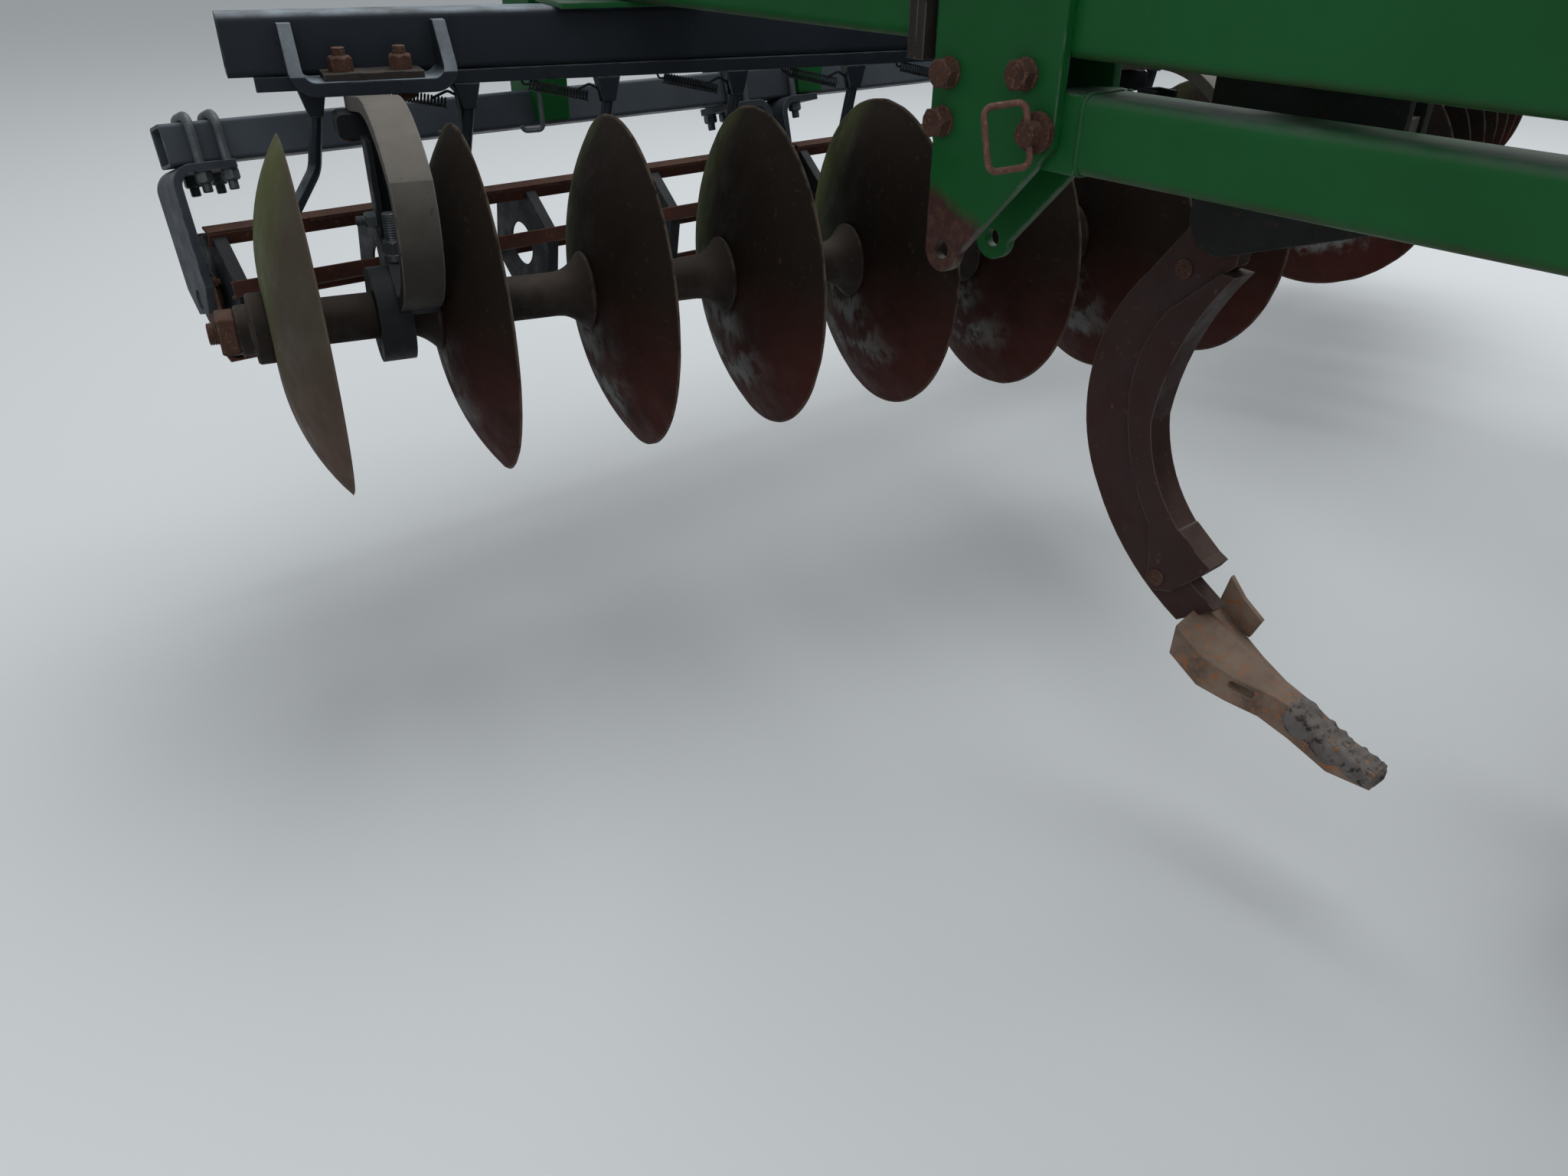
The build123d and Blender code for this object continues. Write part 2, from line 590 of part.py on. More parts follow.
def basket(middle, length):
    """One rolling basket: angle bars round pressed plates with flanged edges and a hole, on stub shafts."""
    inner = basket_radius - basket_bar_wall + 1
    flange = basket_plate_thickness / cos(radians(180 / basket_bar_count))
    pieces = []
    for number in range(basket_plate_count):
        y = middle + (number / (basket_plate_count - 1) - 0.5) * (length - 2 * basket_end_inset)
        plate = extrude(RegularPolygon(inner, basket_bar_count), basket_plate_width / 2, both=True)
        plate -= Pos(0, 0, basket_plate_thickness) * \
            extrude(RegularPolygon(inner - flange, basket_bar_count), basket_plate_width / 2, both=True)
        if 0 < number < basket_plate_count - 1:
            plate -= Cylinder(basket_plate_hole, 2 * basket_plate_width)
        turn = -90 if number < basket_plate_count / 2 else 90
        pieces.append(Pos(0, y, 0) * Rot(turn, 0, 0) * plate)
    rim = Pos(basket_radius - basket_bar_wall / 2, middle, 0) * Box(basket_bar_wall, length, basket_bar_width)
    rib = Pos(basket_radius - basket_bar_width / 2, middle, -(basket_bar_width - basket_bar_wall) / 2) * \
        Box(basket_bar_width, length, basket_bar_wall)
    for number in range(basket_bar_count):
        pieces.append(Rot(0, -360 / basket_bar_count * number, 0) * (rim + rib))
    shaft_length = basket_end_inset + basket_shaft_past
    for side in (-1, 1):
        y = middle + side * (length / 2 - basket_end_inset + shaft_length / 2)
        pieces.append(rod_y(0, 0, y - shaft_length / 2, y + shaft_length / 2, basket_shaft_radius))
    whole = pieces[0]
    for piece in pieces[1:]:
        whole += piece
    return [Pos(basket_x, 0, basket_z) * Rot(0, -basket_bar_first, 0) * whole]


# Chisel shanks, made at x 0 and y 0

def arcs(*points):
    """A chain of three-point arcs through an odd number of points."""
    chain = ThreePointArc(points[0], points[1], points[2])
    for number in range(2, len(points) - 2, 2):
        chain += ThreePointArc(points[number], points[number + 1], points[number + 2])
    return chain


seam_points = ((-40, 875), (-79, 747), (-69, 671), (-32, 576), (60, 470))
front_points = ((58, 947), (-22, 770), (-31, 700), (9, 591), (109, 501))


def upright(outline, thickness):
    plane = Plane(origin=(0, thickness / 2, 0), x_dir=(1, 0, 0), z_dir=(0, -1, 0))
    return extrude(plane * make_face(outline), thickness, dir=(0, -1, 0))


def shank():
    """The parabolic shank, from its head between the holder's plates to the point."""
    outline = Polyline((60, 1175), (-10, 1175), (-30, 1006), (-89, 922))
    outline += arcs((-89, 922), (-163, 740), (-113, 552), (-60, 480), (78, 378))
    outline += Polyline((78, 378), (140, 425), (60, 470))
    outline += arcs(*reversed(seam_points))
    outline += Polyline((-40, 875), (50, 960), (60, 1175))
    return upright(outline, shank_thickness)


def shin_guard():
    """The bolted shield along the shank's front edge, with a collar round the shank at its foot."""
    outline = Polyline((-40, 875), (36, 948), (58, 947))
    outline += arcs(*front_points)
    outline += Polyline((109, 501), (60, 470))
    outline += arcs(*reversed(seam_points))
    collar = Polyline((-2, 536), (13, 466), (14, 429), (31, 418), (62, 429), (111, 481), (121, 498), (104, 506),
                      (56, 540), (-2, 536))
    return upright(outline, guard_thickness) + upright(collar, guard_thickness) - shank()


point_sections = (             # x, height of the ridge, half width and height of the crease, and of the edge
    (104.0, 414.0, 62.0, 398.0, 64.0, 346.0),
    (160.0, 392.0, 60.0, 364.0, 62.0, 312.0),
    (210.0, 370.0, 46.0, 346.0, 54.0, 304.0),
    (262.0, 346.0, 28.0, 336.0, 42.0, 298.0),
    (312.0, 328.0, 20.0, 327.0, 33.0, 280.0),
    (380.0, 300.0, 21.0, 298.0, 30.0, 256.0),
    (446.0, 286.0, 20.0, 284.0, 25.0, 259.0),
)
spike_outline = ((108.0, 384.0), (122.0, 458.0), (152.0, 428.0), (190.0, 404.0), (176.0, 366.0), (108.0, 384.0))
point_slot_x, point_slot_z, point_slot_length, point_slot_width, point_slot_inner = 226.0, 330.0, 42.0, 13.0, 34.0
spike_thickness = 9.0


def chisel_point():
    """The winged point: a ridged share that narrows to a bar nose, with one wing's corner upturned."""
    faces = []
    for x, ridge, crease_half, crease, edge_half, edge in point_sections:
        outline = Polyline((0, ridge), (crease_half, crease), (edge_half, edge), (-edge_half, edge),
                           (-crease_half, crease), (0, ridge))
        faces.append(Plane(origin=(x, 0, 0), x_dir=(0, 1, 0), z_dir=(1, 0, 0)) * make_face(outline))
    body = loft(faces, ruled=True)
    spike = upright(Polyline(*spike_outline), spike_thickness)
    body += Pos(0, point_sections[0][2] - spike_thickness, 0) * spike
    slot = extrude(SlotOverall(point_slot_length, point_slot_width), 2 * point_sections[0][2])
    for side in (-1, 1):
        body -= Pos(point_slot_x, side * point_slot_inner, point_slot_z) * Rot(side * -90, 0, 0) * \
            Rot(0, 0, side * 12) * slot
    return body - shank()


def shank_holder():
    """Two side plates under the cross tube with a rounded rear end, and the pin through the shank."""
    outline = ((-28, frame_z), (-28, 1010), (-10, 980), (24, 969), (226, 1040), (236, 1060), (236, frame_z))
    plates = []
    for side in (-1, 1):
        inner = side * holder_gap / 2
        outer = side * (holder_gap / 2 + holder_plate)
        plates.append(plate_xz(outline, min(inner, outer), max(inner, outer)))
    return plates


def trip_spring():
    """Spring pack between the holder's plates and the shank's head."""
    spring = Pos(137, 0, 1150) * Rot(0, 90, 0) * Cylinder(17, 154)
    return [spring + Pos(222, 0, 1150) * Box(16, holder_gap, 60)]


def each_shank(make):
    made = make()
    shapes = made if isinstance(made, list) else [made]
    return [Pos(x, y, 0) * shape for x, y in shank_rows for shape in shapes]


# Wheels and lift

def tyre():
    """Tyre section turned about y."""
    half = tyre_width / 2
    outline = Polyline((rim_radius, -half + 30), (tyre_radius - 70, -half), (tyre_radius - 34, -half + 8),
                       (tyre_radius - 8, -half + 36), (tyre_radius, -half + 80))
    outline += Line((tyre_radius, -half + 80), (tyre_radius, half - 80))
    outline += Polyline((tyre_radius, half - 80), (tyre_radius - 8, half - 36), (tyre_radius - 34, half - 8),
                        (tyre_radius - 70, half), (rim_radius, half - 30), (rim_radius, -half + 30))
    return revolve(Plane.XY * make_face(outline), Axis.Y)


def rim(side):
    """Rim barrel, disc and hub, with a bore for the spindle; side is where its dish looks."""
    half = tyre_width / 2 - 30
    outline = Polyline((rim_radius - 12, -half), (rim_radius, -half), (rim_radius, half), (rim_radius - 12, half),
                       (rim_radius - 12, -half))
    barrel = revolve(make_face(outline), Axis.Y)
    web = Pos(0, side * 20, 0) * Rot(90, 0, 0) * Cylinder(rim_radius - 12, 12)
    hub = Rot(90, 0, 0) * Cylinder(62, 150)
    bore = Rot(90, 0, 0) * Cylinder(spindle_radius + 0.5, 400)
    return barrel + web + hub - bore


def lift_shaft():
    """The rockshaft with wheel arms, spindles and the lift cranks."""
    ends = side_rail_y + 45
    whole = rod_y(lift_x, lift_z, -ends, ends, lift_radius)
    run, fall = wheel_x - lift_x, tyre_radius - lift_z
    length = hypot(run, fall)
    tilt = degrees(atan2(fall, run))
    for _, y, arm_y in wheel_rows:
        arm = Pos(lift_x, arm_y, lift_z) * Rot(0, -tilt, 0) * Pos(length / 2, 0, 0) * \
            Box(length, lift_arm_thickness, lift_arm_depth)
        arm += rod_y(wheel_x, tyre_radius, arm_y - lift_arm_thickness / 2, arm_y + lift_arm_thickness / 2,
                     lift_arm_depth / 2)
        spindle_end = y + (spindle_past if arm_y < y else -spindle_past)
        whole += arm + rod_y(wheel_x, tyre_radius, min(arm_y, spindle_end), max(arm_y, spindle_end), spindle_radius)
    for side in (-1, 1):
        for cheek in (-1, 1):
            y = side * crank_y + cheek * (crank_gap + crank_plate) / 2
            plate = Pos(lift_x, y, lift_z) * Rot(0, -crank_lean, 0) * (
                Pos(0, 0, crank_length / 2) * Box(80, crank_plate, crank_length))
            plate += rod_y(lift_x - crank_length * sin(radians(crank_lean)),
                           lift_z + crank_length * cos(radians(crank_lean)),
                           y - crank_plate / 2, y + crank_plate / 2, 40)
            whole += plate
    return [whole]


def lift_bearings():
    """Bearing plates that hang the rockshaft under the rails."""
    plates = []
    for y in (side_rail_y, inner_rail_y):
        plate = Pos(lift_x, y, (lift_z + frame_z) / 2) * Box(170, 50, frame_z - lift_z)
        plate += rod_y(lift_x, lift_z, y - 25, y + 25, 92)
        plate -= rod_y(lift_x, lift_z, y - 40, y + 40, lift_radius + 0.5)
        plates.append(plate)
    return both_sides(plates)


def rod_eye():
    return (lift_x - crank_length * sin(radians(crank_lean)), lift_z + crank_length * cos(radians(crank_lean)))


def cylinder_lugs():
    """Lugs on the front cross tube that hold the lift cylinders' barrels."""
    plates = []
    rear_face = cross_front_x - rail_width / 2
    for cheek in (-1, 1):
        y = crank_y + cheek * (crank_gap + crank_plate) / 2
        outline = ((rear_face, frame_z), (rear_face, frame_z + rail_height - 16),
                   (cylinder_eye_x - 30, cylinder_eye_z + 40), (cylinder_eye_x - 30, cylinder_eye_z - 40))
        plate = plate_xz(outline, y - crank_plate / 2, y + crank_plate / 2)
        plates.append(plate)
    pin = rod_y(cylinder_eye_x, cylinder_eye_z, crank_y - crank_gap / 2, crank_y + crank_gap / 2, 16.0)
    return both_sides([plates[0] + plates[1] + pin])


def along_cylinder(shape):
    """Stands a shape made along +X from the barrel's eye on the line to the rod's eye."""
    eye_x, eye_z = rod_eye()
    tilt = degrees(atan2(eye_z - cylinder_eye_z, eye_x - cylinder_eye_x))
    return Pos(cylinder_eye_x, crank_y, cylinder_eye_z) * Rot(0, -tilt, 0) * shape


def cylinder_length():
    eye_x, eye_z = rod_eye()
    return hypot(eye_x - cylinder_eye_x, eye_z - cylinder_eye_z)


def lift_barrels():
    bore_depth = 590.0
    eye = Rot(90, 0, 0) * Cylinder(eye_radius, eye_width)
    body = Pos(35 + bore_depth / 2, 0, 0) * Rot(0, 90, 0) * Cylinder(barrel_radius, bore_depth)
    inside = Pos(120 + bore_depth / 2, 0, 0) * Rot(0, 90, 0) * Cylinder(rod_radius + 0.5, bore_depth)
    pin_hole = Rot(90, 0, 0) * Cylinder(16.5, 2 * eye_width)
    return both_sides([along_cylinder(eye + body - inside - pin_hole)])


def lift_rods():
    length = cylinder_length()
    rod_start = 400.0
    rod = Pos((rod_start + length) / 2, 0, 0) * Rot(0, 90, 0) * Cylinder(rod_radius, length - rod_start)
    eye = Pos(length, 0, 0) * Rot(90, 0, 0) * Cylinder(eye_radius, eye_width)
    return both_sides([along_cylinder(rod + eye)])


# Tongue, hitch and jack

tongue_root = Vector(nose_x + rail_width / 2, tongue_root_y, frame_z + rail_height / 2)
tongue_tip = Vector(hitch_x - hitch_block_rear, tongue_tip_y, hitch_z + hitch_block_rise)


def tongue_tube(wall):
    """One tube from the nose down to the hitch block, cut square to x at both ends."""
    past = (tongue_tip - tongue_root).normalized() * 2 * tongue_height
    raw = tube(tuple(tongue_root - past), tuple(tongue_tip + past), tongue_width, tongue_height, wall,
               tongue_corner)
    middle = (tongue_root + tongue_tip) / 2
    span = tongue_tip.X - tongue_root.X
    return raw & (Pos(middle.X, middle.Y, middle.Z) * Box(span, 2 * span, 2 * span))


def tongue():
    """Two tubes that run together from the nose tube down to the hitch."""
    return both_sides([tongue_tube(tongue_wall)])


def hitch():
    """Hitch block between the tubes' ends, with two ears and an upright pin bore."""
    block_rear, block_front = hitch_x - hitch_block_rear, hitch_x - hitch_block_front
    block = Pos((block_rear + block_front) / 2, 0, hitch_z + hitch_block_rise) * \
        Box(block_front - block_rear, 300, 200)
    whole = block
    for side in (-1, 1):
        z = hitch_z + side * (hitch_ear_gap + hitch_ear_thickness) / 2
        ear = Pos((block_front + hitch_x) / 2, 0, z) * Box(hitch_x - block_front, hitch_ear_width, hitch_ear_thickness)
        ear += Pos(hitch_x, 0, z) * Cylinder(hitch_ear_width / 2, hitch_ear_thickness)
        ear -= Pos(hitch_x, 0, z) * Cylinder(hitch_bore_radius, hitch_ear_thickness * 2)
        whole += ear
    return [whole]


def jack_tube():
    """Square jack housing on a beam between the tongue tubes."""
    z0, z1 = 420.0, 1150.0
    outer = Pos(jack_x, jack_y, (z0 + z1) / 2) * Box(jack_outer, jack_outer, z1 - z0)
    hollow = Pos(jack_x, jack_y, (z0 + z1) / 2 - 6) * Box(jack_inner + 1, jack_inner + 1, z1 - z0)
    return [outer - hollow]


def jack_beam():
    """Cross plate between the tongue tubes that holds the jack."""
    x = jack_x - (jack_outer + jack_beam_thickness) / 2
    middle = tongue_root + (tongue_tip - tongue_root) * ((x - tongue_root.X) / (tongue_tip.X - tongue_root.X))
    plate = Pos(x, 0, middle.Z) * Box(jack_beam_thickness, 2 * middle.Y, jack_beam_height)
    for side in both_sides([tongue_tube(0)]):
        plate -= side
    return [plate]


def jack_leg():
    z0, z1 = jack_foot_thickness, 780.0
    leg = Pos(jack_x, jack_y, (z0 + z1) / 2) * (
        Box(jack_inner, jack_inner, z1 - z0) -
        Box(jack_inner - 2 * jack_wall, jack_inner - 2 * jack_wall, z1 - z0))
    foot = Pos(jack_x, jack_y, jack_foot_thickness / 2) * Box(jack_foot_size, jack_foot_size, jack_foot_thickness)
    return [leg + foot]


os.makedirs("parts", exist_ok=True)

export("side_rails", side_rails())
export("inner_rails", inner_rails())
export("cross_tubes", cross_tubes())
export("lower_links", lower_links())
export("link_brackets", link_brackets())
export("link_anchors", link_anchors())
export("bracket_pins", bracket_pins())
export("ring_handle_left", [ring_handle()])
export("ring_handle_right", [mirror(ring_handle(), Plane.XZ)])
export("rear_arms", rear_arms())
export("arm_flanges", arm_flanges())
export("beam_clamps", beam_clamps())

export("gang_beams", every_gang(lambda count, way: [gang_beam(count, way)]))
for node, make, middle in (
        ("hanger_straps", hanger_strap, strap_s),
        ("hanger_seats", hanger_seat, strap_s),
        ("hanger_springs", hanger_spring, spring_s),
        ("spring_blocks", spring_block, spring_s)):
    export(node, every_gang(lambda count, way: [make(s) for s in hanger_places(count, way, middle)]))
export("gang_bearings", every_gang(lambda count, way: [
    gang_bearing(s, housing_s) for s, housing_s in zip(
        hanger_places(count, way, spring_s), hanger_places(count, way, bearing_s))]))
export("scraper_bars", every_gang(lambda count, way: [scraper_bar(count, way)]))
export("scrapers", every_gang(lambda count, way: [scraper(n * disc_pitch, way) for n in range(count)]))
for gang, (count, way, *_) in gangs.items():
    export(f"discs_{gang}", in_gang(gang, gang_discs(count, way)))
    export(f"spools_{gang}", in_gang(gang, gang_spools(count, way)))

export("basket_tube", [basket_tube_solid(basket_tube_wall)])
export("basket_arms", basket_arms())
export("basket_hangers", basket_hangers())
for side, (middle, length) in zip(("right", "centre", "left"), basket_spans()):
    export(f"basket_{side}", basket(middle, length))

export("shanks", each_shank(shank))
export("shin_guards", each_shank(shin_guard))
export("points", each_shank(chisel_point))
export("shank_holders", each_shank(shank_holder))
export("trip_springs", each_shank(trip_spring))

for name, y, arm_y in wheel_rows:
    export(f"tyre_{name}", [Pos(wheel_x, y, tyre_radius) * tyre()])
    export(f"rim_{name}", [Pos(wheel_x, y, tyre_radius) * rim(1 if y < arm_y else -1)])
export("lift_shaft", lift_shaft())
export("lift_bearings", lift_bearings())
export("cylinder_lugs", cylinder_lugs())
export("lift_barrels", lift_barrels())
export("lift_rods", lift_rods())

export("tongue", tongue())
export("hitch", hitch())
export("jack_tube", jack_tube())
export("jack_beam", jack_beam())
export("jack_leg", jack_leg())
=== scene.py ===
import json
import bpy
import numpy as np
from mathutils import Matrix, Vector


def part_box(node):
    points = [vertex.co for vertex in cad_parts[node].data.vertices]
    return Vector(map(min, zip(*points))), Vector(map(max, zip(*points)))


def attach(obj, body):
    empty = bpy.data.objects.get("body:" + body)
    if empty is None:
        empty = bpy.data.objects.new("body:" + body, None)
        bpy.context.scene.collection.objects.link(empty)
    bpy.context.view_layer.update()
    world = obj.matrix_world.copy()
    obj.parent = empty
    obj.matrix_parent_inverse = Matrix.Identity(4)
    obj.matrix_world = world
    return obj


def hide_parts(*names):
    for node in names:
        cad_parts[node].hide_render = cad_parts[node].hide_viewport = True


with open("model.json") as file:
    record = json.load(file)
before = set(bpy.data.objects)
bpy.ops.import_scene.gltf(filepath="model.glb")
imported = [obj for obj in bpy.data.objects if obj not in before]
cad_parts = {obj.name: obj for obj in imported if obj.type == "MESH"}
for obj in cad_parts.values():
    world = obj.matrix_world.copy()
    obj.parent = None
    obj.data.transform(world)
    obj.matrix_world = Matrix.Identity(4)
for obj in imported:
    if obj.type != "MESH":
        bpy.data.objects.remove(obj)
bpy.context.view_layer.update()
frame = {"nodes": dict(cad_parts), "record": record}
nodes = frame["nodes"]
joints = {row["name"]: row for row in frame["record"]["behaviour"]["joints"]}
mm = 0.001
print("frame loaded,", len(nodes), "CAD nodes")


class Choices(dict):
    # a dictionary of what a user would change, its entries also read as names: blade.radius
    __getattr__ = dict.__getitem__


# Small tools for numpy shapes. A shape is points (n, 3) in mm, quads (m, 4) and triangles (k, 3).

noTriangles = np.zeros((0, 3), int)


def unit(vectors):
    # a vector, or each row of them, divided by its length
    vectors = np.asarray(vectors, float)
    return vectors / np.linalg.norm(vectors, axis=-1, keepdims=True)


def around(count):
    # count angles, evenly round a full turn
    return np.arange(count) * 2 * np.pi / count


def outward(points, quads, triangles=noTriangles):
    # the faces are turned round where the volume inside them, a sixth of the sum of a . (b x c), is negative
    corners = np.concatenate([quads[:, :3], quads[:, [0, 2, 3]], triangles])
    a, b, c = points[corners[:, 0]], points[corners[:, 1]], points[corners[:, 2]]
    if np.einsum("ij,ij->", a, np.cross(b, c)) < 0:
        quads, triangles = quads[:, ::-1], triangles[:, ::-1]
    return points, quads, triangles


def gridQuads(rows, columns, closedRows=False):
    # quads between neighbouring rows of a grid, each closed on itself; the last row meets the first if asked
    i, j = np.meshgrid(np.arange(rows if closedRows else rows - 1), np.arange(columns), indexing="ij")
    below, beside = (i + 1) % rows, (j + 1) % columns
    corners = [i * columns + j, i * columns + beside, below * columns + beside, below * columns + j]
    return np.stack(corners, -1).reshape(-1, 4)


def closedTube(rings):
    # rings (rows, columns, 3) joined in a row, with a fan of triangles over each end
    rows, columns = rings.shape[:2]
    points = np.concatenate([rings.reshape(-1, 3), rings[0].mean(0)[None], rings[-1].mean(0)[None]])
    j = np.arange(columns)
    beside = (j + 1) % columns
    last = (rows - 1) * columns
    triangles = np.concatenate([
        np.stack([beside, j, np.full(columns, rows * columns)], -1),
        np.stack([last + j, last + beside, np.full(columns, rows * columns + 1)], -1)])
    return outward(points, gridQuads(rows, columns), triangles)


def closedRing(rings):
    # rings whose profile also closes on itself, as on a tyre or a plate with a hole
    return outward(rings.reshape(-1, 3), gridQuads(*rings.shape[:2], closedRows=True))


def lathe(profile, segments):
    # profile (n, 2) of (along, radius), turned about the first axis: across = radius times cosine and sine
    profile = np.asarray(profile, float)
    angle = around(segments)
    along = np.broadcast_to(profile[:, :1], (len(profile), segments))
    return np.stack([along, profile[:, 1:] * np.cos(angle), profile[:, 1:] * np.sin(angle)], -1)


def turned(profile, segments, close=closedTube):
    # a lathed shape along Z with closed ends, or, with closedRing, one whose profile closes on itself
    return close(lathe(profile, segments)[..., [1, 2, 0]])


def rounded(corners, radius, steps=5):
    # a path through the corners, each cut by an arc of the radius that is tangent to both its runs: the arc's
    # middle lies radius / sin(half the corner's angle) from the corner, between the runs
    corners = np.asarray(corners, float)
    path = [corners[0]]
    for before, corner, after in zip(corners[:-2], corners[1:-1], corners[2:]):
        u, v = unit(before - corner), unit(after - corner)
        half = np.arccos(np.clip(u @ v, -1, 1)) / 2
        middle = corner + unit(u + v) * radius / np.sin(half)
        p, q = corner + u * radius / np.tan(half) - middle, corner + v * radius / np.tan(half) - middle
        arc = np.pi - 2 * half
        t = np.linspace(0, 1, steps + 1)[:, None]
        path += list(middle + (np.sin((1 - t) * arc) * p + np.sin(t * arc) * q) / np.sin(arc))
    return np.array(path + [corners[-1]])


def sweep(section, path, side):
    # section (m, 2) carried along path (n, 3); its second axis is path x side, its first the other way across
    path = np.asarray(path, float)
    along = unit(np.gradient(path, axis=0))
    up = unit(np.cross(along, np.broadcast_to(np.asarray(side, float), path.shape)))
    across = np.cross(up, along)
    return closedTube(path[:, None] + section[:, :1] * across[:, None] + section[:, 1:] * up[:, None])


def roundSection(radius, sides=10):
    # a circle's points: radius times cosine and sine
    angle = around(sides)
    return radius * np.stack([np.cos(angle), np.sin(angle)], -1)


# a nut's drops are shares of its height, its face of the width over its flats, a thread's of its radius
nutShape = Choices(cornerDrop=0.2, flatDrop=0.06, face=0.47)
threadShape = Choices(root=0.9, tip=0.8)


def hexNut(acrossFlats, height, base=0.0):
    # hexagon with its corners chamfered: corners start to fall in lower down than the flats' middles
    angle = around(12)
    corner = np.arange(12) % 2 == 0
    outer = np.where(corner, acrossFlats / np.sqrt(3), acrossFlats / 2)
    drop = np.where(corner, nutShape.cornerDrop, nutShape.flatDrop) * height
    heights = np.stack([base + np.zeros(12), base + height - drop, base + height + np.zeros(12)])
    radii = np.stack([outer, outer, np.full(12, acrossFlats * nutShape.face)])
    return closedTube(np.stack([radii * np.cos(angle), radii * np.sin(angle), heights], -1))


def threadedEnd(radius, low, high, pitch=3.0, sides=12):
    # a bolt's end: the radius saws in and out once for each pitch, and the tip is chamfered
    count = max(int((high - low) / pitch), 2)
    steps = np.arange(2 * count + 1)
    radii = radius * np.where(steps % 2 == 0, threadShape.root, 1.0)
    profile = np.stack([low + (high - low) * steps / (2 * count), radii], -1)
    profile[-1, 1] = radius * threadShape.tip
    return turned(profile, sides)


def bolt(sizes):
    # washer, nut and thread, those that are given, by what turned, hexNut and threadedEnd take
    makers = {"washer": turned, "nut": hexNut, "thread": threadedEnd}
    return join(make(*sizes[key]) for key, make in makers.items() if key in sizes)


def join(shapes):
    # one shape of many: each one's faces count on from the points before it
    shapes = list(shapes)
    starts = np.cumsum([0] + [len(shape[0]) for shape in shapes[:-1]])
    faces = [np.concatenate([shape[k] + start for shape, start in zip(shapes, starts)]) for k in (1, 2)]
    return np.concatenate([shape[0] for shape in shapes]), *faces


def moved(shape, offset, turn=np.eye(3)):
    # the shape with its points turned by the rows of turn, then the offset added
    return shape[0] @ turn + np.asarray(offset, float), shape[1], shape[2]


def placed(shape, origin, zAxis, xAxis=(0, 0, 1)):
    # stands a shape made round Z at origin, its Z along zAxis and its X near xAxis
    z = unit(zAxis)
    y = np.cross(z, np.asarray(xAxis, float))
    if np.linalg.norm(y) < 1e-6:
        y = np.cross(z, (1.0, 0.0, 0.0))
    y = unit(y)
    return moved(shape, origin, np.stack([np.cross(y, z), y, z]))


def onMirroredPoints(points, shape):
    # the shape's faces on points that are its mirror image, each face the other way round
    return points, shape[1][:, ::-1], shape[2][:, ::-1]


def bothSides(shapes):
    # the shapes, and each again with y made -y
    shapes = list(shapes)
    return shapes + [onMirroredPoints(shape[0] * (1, -1, 1), shape) for shape in shapes]


def boxOf(node):
    # a CAD node's lowest and highest corner in mm
    return np.array(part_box(node)) / mm


def jointPlace(name):
    # a joint's place in mm
    return np.array(joints[name]["pos_m"]) / mm


def addPiece(name, shape, material, body="frame", smoothAngle=35, attribute=None,
             replaced=None):
    # one mesh object at the origin, with its material, the body that it rides on and the CAD node that it
    # stands for, if any, which is then hidden
    points, quads, triangles = shape
    mesh = bpy.data.meshes.new(name)
    mesh.from_pydata((points * mm).tolist(), [], quads.tolist() + triangles.tolist())
    mesh.materials.append(material)
    mesh.polygons.foreach_set("use_smooth", np.ones(len(mesh.polygons), bool))
    mesh.set_sharp_from_angle(angle=np.radians(smoothAngle))
    if attribute:
        layer = mesh.attributes.new(attribute[0], "FLOAT_VECTOR", "POINT")
        layer.data.foreach_set("vector", np.asarray(attribute[1], np.float32).ravel())
    mesh.update()
    piece = bpy.data.objects.new(name, mesh)
    bpy.context.scene.collection.objects.link(piece)
    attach(piece, body)
    if replaced:
        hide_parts(replaced)


# Materials

def toLinear(code):
    # sRGB hex to the linear colour that sockets take
    value = np.array([int(code[i:i + 2], 16) / 255 for i in (1, 3, 5)])
    linear = np.where(value <= 0.04045, value / 12.92, ((value + 0.055) / 1.055) ** 2.4)
    return (*linear.tolist(), 1.0)


def addNode(tree, kind, settings=None, inputs=None):
    # one node: settings by name, inputs by socket name or number, each a value or another node's socket
    node = tree.nodes.new("ShaderNode" + kind)
    for key, value in (settings or {}).items():
        setattr(node, key, value)
    for socket, value in (inputs or {}).items():
        if isinstance(value, bpy.types.NodeSocket):
            tree.links.new(value, node.inputs[socket])
        else:
            node.inputs[socket].default_value = value
    return node


def ramp(tree, value, low, high, top=1.0):
    # 0 at low, top at high, straight between and held beyond
    return addNode(tree, "MapRange", inputs={
        "Value": value, "From Min": low, "From Max": high, "To Max": top}).outputs["Result"]


def noiseMask(tree, coords, sizeMm, low, high, detail=4.0, stretch=None):
    # noise with patches of about sizeMm, cut between low and high to a soft mask; (sizeMm, low, high, detail)
    # is how the dictionaries give a noise
    if stretch:
        coords = addNode(tree, "Mapping", inputs={"Vector": coords, "Scale": stretch}).outputs["Vector"]
    noise = addNode(tree, "TexNoise", inputs={
        "Vector": coords, "Scale": 1000.0 / sizeMm, "Detail": detail, "Roughness": 0.62})
    return ramp(tree, noise.outputs[0], low, high)


def maths(tree, operation, a, b=0.0):
    # the operation on two numbers
    return addNode(tree, "Math", {"operation": operation}, {0: a, 1: b}).outputs[0]


def times(tree, a, b):
    # a multiplied by b
    return maths(tree, "MULTIPLY", a, b)


def vectorMaths(tree, operation, a, b=(0.0, 0.0, 0.0)):
    # the operation on two vectors, its result as outputs Vector or Value
    return addNode(tree, "VectorMath", {"operation": operation}, {0: a, 1: b}).outputs


def axesOf(tree, vector):
    # a vector's parts, as outputs X, Y and Z
    return addNode(tree, "SeparateXYZ", inputs={0: vector}).outputs


